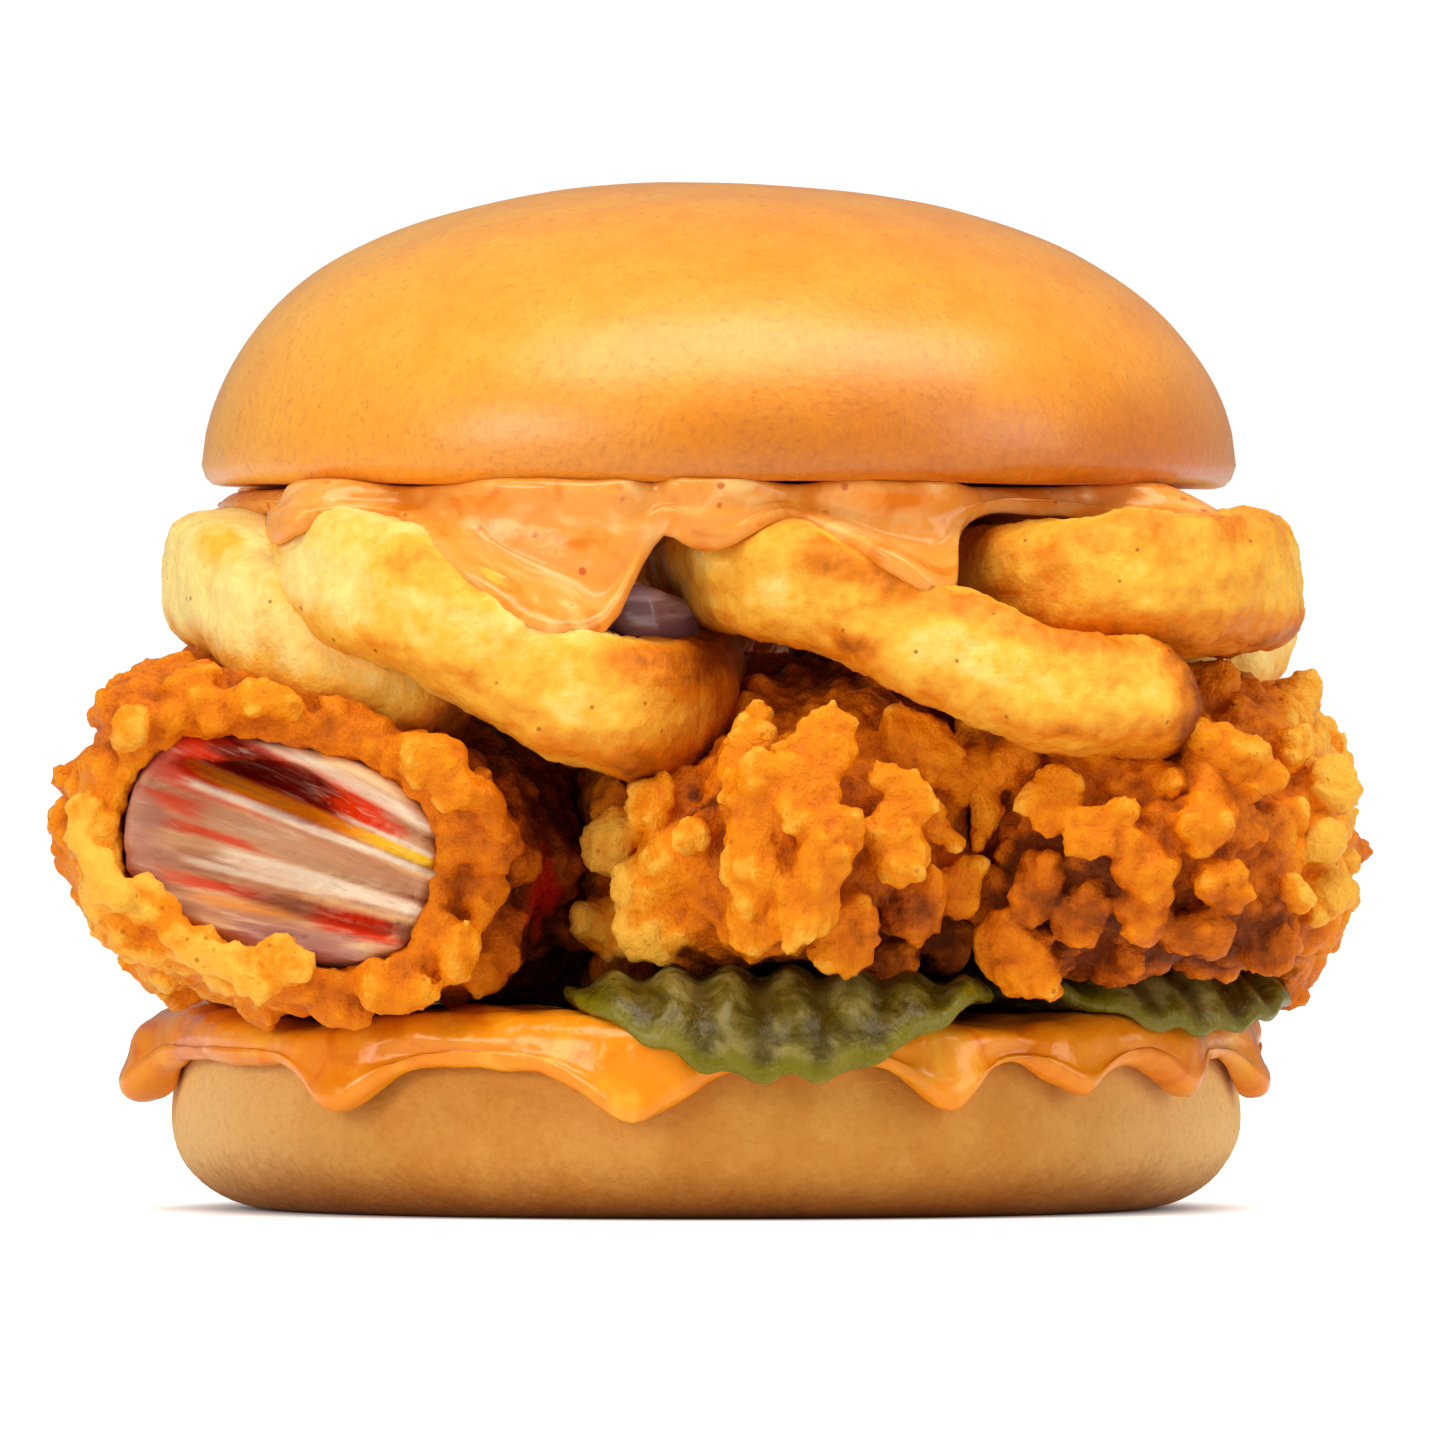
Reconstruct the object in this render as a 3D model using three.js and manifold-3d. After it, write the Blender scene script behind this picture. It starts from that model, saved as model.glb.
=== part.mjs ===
// A chicken burger: a bun heel and crown, two sauces, crinkle-cut pickle chips, three pieces of
// crisp fried chicken, one of them torn open, curled fries and a strip of red onion.
// Millimetres, +Z up, +X to the right and -Y to the front. The origin is the centre of the heel's flat base.

import * as THREE from "three";
import { ImprovedNoise } from "three/addons/math/ImprovedNoise.js";
import { mergeVertices } from "three/addons/utils/BufferGeometryUtils.js";
import Module from "manifold-3d";

const wasm = await Module();
wasm.setup();

// Driving dimensions
const HEEL_RADIUS = 53.4;
const HEEL_HEIGHT = 17;
const HEEL_BASE_RADIUS = 43;
const HEEL_CORNER_HEIGHT = 9;
const CROWN_RADIUS = 52.2;
const CROWN_BOTTOM = 72;
const BURGER_HEIGHT = 102.6;
const CROWN_OFFSET = 1.4;
const CROWN_LEAN = -1.6;
const CROWN_FULLNESS = 2.2;
const CLEARANCE = 0.35;
const CHICKEN_GAP = 0.6;
const MERGE_DISTANCE = 1e-3;
const LARGE_PICKLE_RADIUS = 21;
const SMALL_PICKLE_RADIUS = 18.5;
const PICKLE_THICKNESS = 4.4;
const PICKLE_WAVE = 6.6;
const PICKLE_WAVE_DEPTH = 1.1;
const SAUCE_THICKNESS = 2.2;

// Tessellation
const BUN_SIDES = 28;
const LOWER_SAUCE_SIDES = 50;
const UPPER_SAUCE_SIDES = 40;
const CHICKEN_DETAIL = 6;
const FINE_CAPSULE = { sides: 8, steps: 9, capSteps: 2 };
const ROOM_CAPSULE = { sides: 6, steps: 8, capSteps: 2 };
const ROOM_MARGIN = 2.2;

const perlin = new ImprovedNoise();

const material = (name, color, roughness) =>
  new THREE.MeshStandardMaterial({ name, color, roughness, metalness: 0 });

const CRUST_BROWN = material("bun_crust", 0xe09a3e, 0.35);
const HEEL_TAN = material("bun_heel", 0xd79c52, 0.7);
const SAUCE_ORANGE = material("lower_sauce", 0xfb8f2a, 0.25);
const SAUCE_PINK = material("upper_sauce", 0xeb9a55, 0.25);
const PICKLE_GREEN = material("pickle", 0x7c8134, 0.3);
const COATING_GOLD = material("chicken_coating", 0xe8871a, 0.6);
const MEAT_PINK = material("chicken_meat", 0xc98a72, 0.45);
const POTATO_YELLOW = material("potato", 0xe3ae3f, 0.55);
const ONION_PURPLE = material("onion", 0x8d6a70, 0.3);

// A repeatable stream of numbers from 0 to 1.
function randomStream(seed) {
  let state = seed;
  return () => {
    state = (state + 0x6d2b79f5) | 0;
    let mixed = Math.imul(state ^ (state >>> 15), 1 | state);
    mixed = (mixed + Math.imul(mixed ^ (mixed >>> 7), 61 | mixed)) ^ mixed;
    return ((mixed ^ (mixed >>> 14)) >>> 0) / 4294967296;
  };
}

// Smooth noise from -1 to 1 whose lumps are about `size` across.
function lumps(point, size, seed) {
  return perlin.noise(point.x / size + seed, point.y / size - seed, point.z / size + 2 * seed);
}

function movedVertices(geometry, move) {
  const position = geometry.getAttribute("position");
  const point = new THREE.Vector3();
  for (let i = 0; i < position.count; i++) {
    point.fromBufferAttribute(position, i);
    const moved = move(point, i);
    position.setXYZ(i, moved.x, moved.y, moved.z);
  }
  return geometry;
}

function weldedGeometry(geometry) {
  const loose = geometry.index ? geometry.toNonIndexed() : geometry;
  const bare = new THREE.BufferGeometry();
  bare.setAttribute("position", loose.getAttribute("position").clone());
  return mergeVertices(bare, MERGE_DISTANCE);
}

function solidFrom(geometry) {
  const welded = weldedGeometry(geometry);
  const mesh = new wasm.Mesh({
    numProp: 3,
    vertProperties: welded.getAttribute("position").array,
    triVerts: new Uint32Array(welded.index.array),
  });
  return new wasm.Manifold(mesh);
}

function geometryFrom(solid) {
  const mesh = solid.getMesh();
  const geometry = new THREE.BufferGeometry();
  geometry.setAttribute("position", new THREE.BufferAttribute(new Float32Array(mesh.vertProperties), 3));
  geometry.setIndex(new THREE.BufferAttribute(new Uint32Array(mesh.triVerts), 1));
  geometry.computeVertexNormals();
  return geometry;
}

// The same solid with its skin moved outwards, for cutting a neighbour that has to stay clear of it.
function grown(solid, distance) {
  const geometry = geometryFrom(solid);
  const normal = geometry.getAttribute("normal");
  const outwards = new THREE.Vector3();
  movedVertices(geometry, (point, i) => {
    outwards.fromBufferAttribute(normal, i);
    return point.addScaledVector(outwards, distance);
  });
  return solidFrom(geometry);
}

function joined(solids) {
  return solids.reduce((sum, solid) => sum.add(solid));
}

// The solid less its neighbours, with the scraps that a cut leaves loose dropped.
function cutClearOf(solid, neighbours) {
  const rest = neighbours.reduce((left, neighbour) => left.subtract(neighbour), solid);
  return rest.decompose().reduce((most, body) => (body.volume() > most.volume() ? body : most));
}

// A lathe whose profile may differ at each angle. Angle 0 is the front, and it grows towards +X.
// profileAt gives [radius, height] pairs that start and end on the axis.
function turnedBy(profileAt, sides) {
  const steps = profileAt(0).length;
  const blank = Array.from({ length: steps }, (_, j) => new THREE.Vector2(1, j));
  const geometry = new THREE.LatheGeometry(blank, sides);
  const profiles = Array.from({ length: sides }, (_, i) => profileAt((2 * Math.PI * i) / sides));
  return movedVertices(geometry, (point, index) => {
    const side = Math.floor(index / steps) % sides;
    const angle = (2 * Math.PI * side) / sides;
    const [radius, height] = profiles[side][index % steps];
    return point.set(radius * Math.sin(angle), -radius * Math.cos(angle), height);
  });
}

// Bun

function heelRadiusAt(height) {
  if (height >= HEEL_CORNER_HEIGHT) {
    const rise = (height - HEEL_CORNER_HEIGHT) / (HEEL_HEIGHT - HEEL_CORNER_HEIGHT);
    return HEEL_RADIUS - 1.4 * rise * rise;
  }
  const fall = (HEEL_CORNER_HEIGHT - height) / HEEL_CORNER_HEIGHT;
  const corner = HEEL_RADIUS - HEEL_BASE_RADIUS;
  return HEEL_BASE_RADIUS + corner * Math.sqrt(1 - fall * fall);
}

function heelSolid() {
  const heights = [0, 0.5, 2, 4.2, 6.6, 9.5, 13, 15.6];
  const edge = heights.map((height) => [heelRadiusAt(height), height]);
  const profileAt = (angle) => {
    const uneven = 0.35 * Math.sin(3 * angle + 0.8) + 0.25 * Math.sin(5 * angle);
    const wall = edge.map(([radius, height]) => [radius + (uneven * height) / HEEL_HEIGHT, height]);
    return [[0, 0], ...wall, [HEEL_RADIUS - 2.8, HEEL_HEIGHT], [0, HEEL_HEIGHT]];
  };
  return solidFrom(turnedBy(profileAt, BUN_SIDES));
}

function crownSolid() {
  const height = BURGER_HEIGHT - CROWN_BOTTOM;
  const shares = [0.13, 0.3, 0.46, 0.6, 0.72, 0.82, 0.9, 0.96, 0.99];
  const dome = shares.map((share) => [
    CROWN_RADIUS * (1 - share ** CROWN_FULLNESS) ** (1 / CROWN_FULLNESS),
    CROWN_BOTTOM + share * height,
  ]);
  const foot = [
    [0, CROWN_BOTTOM],
    [CROWN_RADIUS - 2.2, CROWN_BOTTOM],
    [CROWN_RADIUS - 0.6, CROWN_BOTTOM + 0.9],
  ];
  const profileAt = () => [...foot, ...dome, [0, BURGER_HEIGHT]];
  const geometry = movedVertices(turnedBy(profileAt, BUN_SIDES), (point) => {
    const rise = (point.z - CROWN_BOTTOM) / height;
    const angle = Math.atan2(point.x, -point.y);
    const uneven = 1 + 0.007 * Math.sin(2 * angle + 1) + 0.005 * Math.sin(3 * angle);
    point.x = point.x * uneven + CROWN_OFFSET + CROWN_LEAN * rise * rise;
    point.y *= uneven;
    return point;
  });
  return solidFrom(geometry);
}

// Sauces

// One side of a drip's outline: 1 in its middle, falling to 0 at its edges.
function lobe(offset, reachLeft, reachRight) {
  const reach = offset < 0 ? reachLeft : reachRight;
  return Math.exp(-((offset / reach) ** 2));
}

// How far the sauce hangs below its rim at each angle, how much it swells, and how far into a drip it is.
function dripsAt(angle, rimRadius, drips, skirt) {
  let drop = skirt + 0.15 * skirt * Math.sin(7 * angle + 1) + 0.12 * skirt * Math.sin(11 * angle);
  let swell = 0;
  let spread = 0;
  for (const drip of drips) {
    const turn = Math.atan2(Math.sin(angle - drip.angle), Math.cos(angle - drip.angle));
    const share = lobe(turn * rimRadius, drip.left, drip.right);
    drop = Math.max(drop, skirt + (drip.drop - skirt) * share);
    swell = Math.max(swell, drip.swell * share);
    spread = Math.max(spread, Math.min(1, 1.6 * share));
  }
  return { drop, swell, spread };
}

// A drip that the front view shows at x, and its reach to each side.
function frontDrip(x, rimRadius, drop, left, right, swell) {
  return { angle: Math.asin(Math.max(-1, Math.min(1, x / rimRadius))), drop, left, right, swell };
}

// Drips round the sides and back, uneven in place and size.
function rearDrips(count, fromAngle, toAngle, shortest, longest, seed) {
  const random = randomStream(seed);
  return Array.from({ length: count }, (_, i) => {
    const share = (i + 0.3 + 0.4 * random()) / count;
    const reach = 3.5 + 3 * random();
    return {
      angle: fromAngle + share * (toAngle - fromAngle),
      drop: shortest + (longest - shortest) * random(),
      left: reach,
      right: reach,
      swell: 0.4 + 0.8 * random(),
    };
  });
}

const LOWER_RIM = HEEL_RADIUS + 1;
const LOWER_DRIPS = [
  frontDrip(-53.9, LOWER_RIM, 6.2, 9, 4.5, 2.2),
  frontDrip(-35, LOWER_RIM, 7.4, 6, 6.5, 0.9),
  frontDrip(-7, LOWER_RIM, 8.8, 7, 7, 0.8),
  frontDrip(23.5, LOWER_RIM, 7.4, 5, 4.5, 0.7),
  frontDrip(36.5, LOWER_RIM, 6.2, 5, 4.2, 0.4),
  frontDrip(46.3, LOWER_RIM, 6.4, 4, 4, 0.4),
  frontDrip(53.3, LOWER_RIM, 6.2, 4, 5, 1.2),
  ...rearDrips(11, 0.62 * Math.PI, 1.44 * Math.PI, 4, 8, 11),
];

function lowerSauceSolid() {
  const profileAt = (angle) => {
    const { drop, swell } = dripsAt(angle, LOWER_RIM, LOWER_DRIPS, 3);
    const tip = HEEL_HEIGHT - drop;
    const wave = 0.5 * Math.sin(4 * angle + 2) + 0.4 * Math.sin(9 * angle);
    const top = HEEL_HEIGHT + 2.9 + wave;
    const thickness = SAUCE_THICKNESS + swell;
    const inner = (height) => heelRadiusAt(height) + CLEARANCE + 0.6;
    return [
      [0, HEEL_HEIGHT + CLEARANCE],
      [HEEL_RADIUS - 3.4, HEEL_HEIGHT + CLEARANCE],
      [inner(HEEL_HEIGHT - 2), HEEL_HEIGHT - 1],
      [inner(tip) + 0.1, tip + 0.7],
      [inner(tip) + 0.45 * thickness, tip],
      [inner(tip) + thickness, tip + 1.2],
      [inner(tip) + thickness * 0.85, tip + 0.55 * drop],
      [HEEL_RADIUS + 0.75 * thickness, HEEL_HEIGHT + 1],
      [HEEL_RADIUS - 1.5, top],
      [HEEL_RADIUS - 14, top + 0.4],
      [0, HEEL_HEIGHT + 2.6],
    ];
  };
  return solidFrom(turnedBy(profileAt, LOWER_SAUCE_SIDES));
}

// A plain form that holds the lower sauce and the heel, which the chicken rests on.
function lowerRoomSolid() {
  const top = HEEL_HEIGHT + 4.2;
  const outer = HEEL_RADIUS + 5.2;
  const profileAt = () => [[0, 1], [HEEL_RADIUS, 1], [outer, 10], [outer, HEEL_HEIGHT], [outer - 4, top], [0, top]];
  return solidFrom(turnedBy(profileAt, 24));
}

const UPPER_RIM = 56;
const UPPER_SKIRT = 2.3;
const UPPER_DRIPS = [
  frontDrip(-41.5, UPPER_RIM, 5.6, 6, 7, 0.2),
  frontDrip(-13, UPPER_RIM, 14.8, 17, 5.4, 1.1),
  frontDrip(0, UPPER_RIM, 6.2, 5, 7, 1.6),
  frontDrip(23, UPPER_RIM, 11.2, 10, 5.5, 0.8),
  frontDrip(47.5, UPPER_RIM, 7.8, 7, 4.6, 1.4),
  ...rearDrips(7, 0.66 * Math.PI, 1.4 * Math.PI, 5, 11, 23),
];
const UPPER_LEVELS = [0, 0.3, 0.62, 1];

// How far out the layer under the sauce reaches at an angle and height, looking in from outside.
function reachOf(mesh, angle, height, least) {
  const outside = new THREE.Vector3(Math.sin(angle), -Math.cos(angle), 0);
  const from = outside.clone().multiplyScalar(90).setZ(height);
  const hits = new THREE.Raycaster(from, outside.clone().negate()).intersectObject(mesh);
  const reach = hits.length ? 90 - hits[0].distance : least;
  return Math.max(reach, least);
}

function upperSauceSolid(layerUnder) {
  const mesh = new THREE.Mesh(geometryFrom(layerUnder), new THREE.MeshBasicMaterial({ side: THREE.DoubleSide }));
  const top = CROWN_BOTTOM - CLEARANCE;
  const rim = CROWN_RADIUS - 1.2;
  const bareReach = rim - 1.2;
  const reaches = Array.from({ length: UPPER_SAUCE_SIDES }, (_, i) => {
    const angle = (2 * Math.PI * i) / UPPER_SAUCE_SIDES;
    const { drop } = dripsAt(angle, UPPER_RIM, UPPER_DRIPS, UPPER_SKIRT);
    return UPPER_LEVELS.map((share) => reachOf(mesh, angle, top - 1.5 - share * (drop - 1.5), rim - 3));
  });
  const evened = (i, level) => {
    const near = [-2, -1, 0, 1, 2].map((k) => reaches[(i + k + UPPER_SAUCE_SIDES) % UPPER_SAUCE_SIDES][level]);
    return (near[0] + 2 * near[1] + 3 * near[2] + 2 * near[3] + near[4]) / 9;
  };
  const profileAt = (angle) => {
    const i = Math.round((angle * UPPER_SAUCE_SIDES) / (2 * Math.PI)) % UPPER_SAUCE_SIDES;
    const { drop, swell, spread } = dripsAt(angle, UPPER_RIM, UPPER_DRIPS, UPPER_SKIRT);
    const reach = UPPER_LEVELS.map((_, level) => bareReach + spread * (evened(i, level) - bareReach));
    const tip = top - drop;
    const thickness = SAUCE_THICKNESS - 0.4 + swell;
    return [
      [0, top - 3],
      [rim - 12, top - 3],
      [Math.min(rim - 2.5, reach[1] - 2), top - 0.3 * drop - 1.6],
      [reach[3] - 1.2, tip + 1.4],
      [reach[3] + 0.4 * thickness, tip],
      [reach[3] + thickness, tip + 1.2],
      [reach[2] + thickness, top - 0.6 * drop],
      [reach[1] + 0.9 * thickness, top - 0.28 * drop],
      [Math.max(rim, reach[0] * 0.35 + rim * 0.65) + 0.3, top],
      [rim - 8, top],
      [0, top],
    ];
  };
  return solidFrom(turnedBy(profileAt, UPPER_SAUCE_SIDES));
}

// Pickle chips

const SLAB_WIDTH = 2.3 * LARGE_PICKLE_RADIUS;
const HALF_PICKLE = PICKLE_THICKNESS / 2;
const PICKLE_ROOM = 1;
const PICKLE_SIDES = 22;
const PICKLE_ROOM_SIDES = 12;

// The wavy section of a crinkle-cut slice, wide enough for the whole chip.
function crinkledSection() {
  const columns = Math.round((3 * SLAB_WIDTH) / PICKLE_WAVE);
  const at = (i) => (i / columns - 0.5) * SLAB_WIDTH;
  const wave = (i) => PICKLE_WAVE_DEPTH * Math.sin((2 * Math.PI * at(i)) / PICKLE_WAVE);
  const section = new THREE.Shape();
  section.moveTo(at(0), wave(0) - HALF_PICKLE);
  for (let i = 1; i <= columns; i++) section.lineTo(at(i), wave(i) - HALF_PICKLE);
  for (let i = columns; i >= 0; i--) section.lineTo(at(i), wave(i) + HALF_PICKLE);
  return section;
}

// A plain section that holds the wavy one, for the room that a chip needs.
function roomySection() {
  const half = HALF_PICKLE + PICKLE_WAVE_DEPTH + PICKLE_ROOM;
  const side = SLAB_WIDTH / 2;
  return new THREE.Shape([
    new THREE.Vector2(-side, -half),
    new THREE.Vector2(side, -half),
    new THREE.Vector2(side, half),
    new THREE.Vector2(-side, half),
  ]);
}

// A round chip that lies at `centre` and droops by `droop` towards its rim on the side that `facing` names.
function pickleSolid({ radius, centre, facing, droop, bend }, section, margin, sides) {
  const slab = new THREE.ExtrudeGeometry(section, { depth: SLAB_WIDTH, steps: 5, bevelEnabled: false });
  slab.translate(0, 0, -SLAB_WIDTH / 2);
  const rim = radius + margin;
  const disc = new THREE.CylinderGeometry(rim, rim - 0.8, 4 * PICKLE_THICKNESS, sides);
  const chip = geometryFrom(solidFrom(slab).intersect(solidFrom(disc)));
  chip.rotateX(Math.PI / 2);
  movedVertices(chip, (point) => {
    const out = Math.max(0, -point.y - bend);
    point.z -= (droop * out * out) / (radius - bend) ** 2;
    point.y += (0.35 * out * out) / radius;
    point.z += 0.5 * lumps(point, 14, facing);
    return point;
  });
  chip.rotateZ(facing);
  chip.translate(...centre);
  return solidFrom(chip);
}

// Curled fries

// Bends a closed capsule along a curve, with a rounded four-sided section that turns as it goes.
function bentCapsule(shape, { sides, steps, capSteps }, margin = 0) {
  const { points, twist = 0, squareness = 3, unevenness = 0.5, seed } = shape;
  const width = shape.width + 2 * margin;
  const height = shape.height + 2 * margin;
  const curve = new THREE.CatmullRomCurve3(points.map((point) => new THREE.Vector3(...point)));
  const length = curve.getLength();
  const cap = Math.min(width, height) / 2;
  const straight = length / cap - 2;
  const geometry = new THREE.CapsuleGeometry(1, straight, capSteps, sides, steps);
  const up = new THREE.Vector3(0, 0, 1);
  return movedVertices(geometry, (vertex) => {
    const share = THREE.MathUtils.clamp((vertex.y + straight / 2 + 1) / (straight + 2), 0, 1);
    const radial = Math.hypot(vertex.x, vertex.z);
    const around = Math.atan2(vertex.z, vertex.x);
    const tangent = curve.getTangentAt(share);
    const side = new THREE.Vector3().crossVectors(tangent, up).normalize();
    const upright = new THREE.Vector3().crossVectors(side, tangent).normalize();
    const sum = Math.abs(Math.cos(around)) ** squareness + Math.abs(Math.sin(around)) ** squareness;
    const reach = radial / sum ** (1 / squareness);
    const turned = twist * (share - 0.5);
    const across = (reach * Math.cos(around) * width) / 2;
    const above = (reach * Math.sin(around) * height) / 2;
    const point = curve.getPointAt(share);
    point.addScaledVector(tangent, 1.5 * margin * (2 * share - 1));
    point.addScaledVector(side, across * Math.cos(turned) - above * Math.sin(turned));
    point.addScaledVector(upright, across * Math.sin(turned) + above * Math.cos(turned));
    const swell = 1 + (unevenness * lumps(point, 9, seed)) / cap;
    return point.lerp(curve.getPointAt(share), 1 - swell);
  });
}

const FRIES = {
  fry_right: {
    points: [[26, -18, 60], [29, -33, 61], [39, -43, 62], [49, -39.5, 62.3], [52.6, -27, 62.6], [51, -14, 62]],
    width: 12,
    height: 13.6,
    twist: 0.5,
    seed: 3,
  },
  fry_centre: {
    points: [[-1, -26, 62], [3, -41, 63.5], [12, -49, 61.3], [23, -52, 56], [34, -52, 51.6], [47, -45, 50.8]],
    width: 9.5,
    height: 11.4,
    twist: 1.1,
    seed: 5,
  },
  fry_left_inner: {
    points: [[-37, -18, 64], [-36.5, -36, 63.6], [-28, -47, 60], [-18, -51, 54.3], [-9.5, -49.5, 50], [-3.5, -40, 50.4], [-2, -27, 54]],
    width: 11.4,
    height: 13,
    twist: -0.6,
    seed: 8,
  },
  fry_left_outer: {
    points: [[-40, 22, 59], [-47, 6, 62], [-47.6, -14, 63], [-43, -30, 59.5], [-35, -38, 54.2], [-23, -38, 49.5]],
    width: 12,
    height: 13,
    twist: 0.7,
    seed: 13,
  },
  fry_back_left: {
    points: [[-33, 33, 62], [-25, 44, 62], [-12, 48, 61.5], [-1, 43, 60], [1, 30, 59]],
    width: 11,
    height: 12.5,
    twist: 0.8,
    seed: 17,
  },
  fry_back_centre: {
    points: [[2, 34, 61], [10, 45, 60.4], [22, 46, 58], [33, 39, 54.5], [39, 30, 54]],
    width: 10,
    height: 11.5,
    twist: -0.9,
    seed: 21,
  },
  fry_back_right: {
    points: [[35, 24, 63.5], [46, 21, 62.5], [53, 8, 59.5], [51, -5, 57], [42, -11, 56]],
    width: 11,
    height: 12.5,
    twist: 0.6,
    seed: 27,
  },
};

const ONION = {
  points: [[-24, -30, 63], [-14, -40, 62], [-7, -43.5, 59.6], [-2.5, -39, 58.2], [-1, -30, 58]],
  width: 2.6,
  height: 5.4,
  squareness: 2.2,
  unevenness: 0.1,
  seed: 31,
};

// Fried chicken

// A ragged flake of coating: a thin, curled plate with uneven edges.
function flakeGeometry(random) {
  const flake = new THREE.SphereGeometry(1, 6, 4);
  const length = 4.4 + 3.6 * random();
  const breadth = 3.2 + 2.6 * random();
  const thickness = 1.3 + 0.9 * random();
  const curl = 0.5 + 0.8 * random();
  const seed = 50 * random();
  return movedVertices(flake, (point) => {
    const ragged = 1 + 0.35 * lumps(point, 0.6, seed);
    const along = point.x * length * ragged;
    const across = point.y * breadth * ragged;
    return point.set(along, across, point.z * thickness + (curl * along * along) / (2 * length));
  });
}

// A piece of chicken under a craggy coating, built along Y and then placed.
class ChickenPiece {
  constructor({ half, boxiness = 2.5, taper = 0.25, centre, yaw, roll, flakes, seed }) {
    Object.assign(this, { half: new THREE.Vector3(...half), boxiness, taper, flakes, seed });
    this.placement = new THREE.Matrix4().compose(
      new THREE.Vector3(...centre),
      new THREE.Quaternion().setFromEuler(new THREE.Euler(0, roll, yaw, "ZYX")),
      new THREE.Vector3(1, 1, 1),
    );
  }

  // A point of the bare meat's surface in a direction, before it is placed.
  meatPoint(direction, inset = 0) {
    const { x, y, z } = direction;
    const sum = Math.abs(x) ** this.boxiness + Math.abs(y) ** this.boxiness + Math.abs(z) ** this.boxiness;
    const point = direction.clone().divideScalar(sum ** (1 / this.boxiness));
    const narrowing = 1 - this.taper * point.y * point.y * (point.y > 0 ? 1 : 0.4);
    point.multiply(this.half).multiply(new THREE.Vector3(narrowing, 1, narrowing));
    const scale = 1 + (2.2 * lumps(point, 24, this.seed)) / this.half.x;
    return point.multiplyScalar(scale).addScaledVector(direction, -inset);
  }

  // A point of the coating's surface: broad lumps, sharp ridges between them and small knobs.
  coatedPoint(direction) {
    const point = this.meatPoint(direction);
    const ridges = 1 - 2 * Math.abs(lumps(point, 13, this.seed + 7));
    const knobs = Math.abs(lumps(point, 7, this.seed + 19));
    const relief = 1.7 * ridges + 4.6 * knobs - 1.5;
    return point.addScaledVector(direction, relief);
  }

  coreSolid(inset, detail) {
    const geometry = movedVertices(new THREE.IcosahedronGeometry(1, detail), (point) =>
      this.meatPoint(point.clone().normalize(), inset),
    );
    return solidFrom(geometry.applyMatrix4(this.placement));
  }

  coatedSolid() {
    const random = randomStream(this.seed);
    const geometry = movedVertices(new THREE.IcosahedronGeometry(1, CHICKEN_DETAIL), (point) =>
      this.coatedPoint(point.clone().normalize()),
    );
    const pieces = [solidFrom(geometry)];
    const plate = new THREE.Vector3(0, 0, 1);
    for (let i = 0; i < this.flakes; i++) {
      const turn = 2 * Math.PI * ((i * 0.618) % 1);
      const rise = -0.45 + 1.25 * random();
      const along = 2 * random() - 1;
      const direction = new THREE.Vector3(Math.cos(turn), along, rise * Math.abs(Math.sin(turn)) + 0.2 * rise);
      direction.normalize();
      const lean = new THREE.Vector3(random() - 0.5, random() - 0.5, random() - 0.5).multiplyScalar(1.1);
      const facing = new THREE.Quaternion().setFromUnitVectors(plate, direction.clone().add(lean).normalize());
      const flake = flakeGeometry(random).applyQuaternion(facing);
      flake.translate(...this.coatedPoint(direction).toArray());
      pieces.push(solidFrom(flake));
    }
    return solidFrom(geometryFrom(joined(pieces)).applyMatrix4(this.placement));
  }
}

const LEFT_PIECE = new ChickenPiece({
  half: [24.2, 54, 16.8],
  boxiness: 2.7,
  centre: [-36.3, -8, 36.3],
  yaw: -0.12,
  roll: 0.3,
  flakes: 6,
  seed: 2,
});
const MIDDLE_PIECE = new ChickenPiece({
  half: [19, 50.5, 15.8],
  boxiness: 3.1,
  centre: [8, -4, 37.5],
  yaw: 0.02,
  roll: -0.08,
  flakes: 6,
  seed: 5,
});
const RIGHT_PIECE = new ChickenPiece({
  half: [22.5, 48, 17.6],
  boxiness: 2.9,
  centre: [39.8, -2, 36.8],
  yaw: 0.05,
  roll: 0.1,
  flakes: 6,
  seed: 9,
});
const COATING_THICKNESS = 2.9;
const MIDDLE_ROOM = 2.4;
const TEAR_RADIUS = 60;
const TEAR_CENTRE = [-52, -107, 40];

// What is torn off the left piece: a large uneven ball that reaches into its front end.
function tearSolid(radius) {
  const ball = movedVertices(new THREE.IcosahedronGeometry(1, 6), (point) => {
    const direction = point.clone().normalize();
    const place = direction.clone().multiplyScalar(radius);
    return place.addScaledVector(direction, 1.4 * lumps(place, 9, 4));
  });
  return solidFrom(ball.translate(...TEAR_CENTRE));
}

// Assembly

const heel = heelSolid();
const crown = crownSolid();

const PICKLES = {
  pickle_left: { radius: LARGE_PICKLE_RADIUS, centre: [6.9, -42.2, 22], facing: 0, droop: 8, bend: 4 },
  pickle_right: { radius: SMALL_PICKLE_RADIUS, centre: [40, -19.3, 22.4], facing: 0.75, droop: 4, bend: 4 },
  pickle_back: { radius: LARGE_PICKLE_RADIUS, centre: [-14, 40.5, 22], facing: 3.3, droop: 6, bend: 4 },
};
const pickles = new Map();
const pickleRooms = [];
for (const [name, pickle] of Object.entries(PICKLES)) {
  pickles.set(name, pickleSolid(pickle, crinkledSection(), 0, PICKLE_SIDES));
  pickleRooms.push(pickleSolid(pickle, roomySection(), PICKLE_ROOM, PICKLE_ROOM_SIDES));
}
const pickleRoom = joined(pickleRooms);
const lowerSauce = cutClearOf(lowerSauceSolid(), [pickleRoom]);

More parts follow.
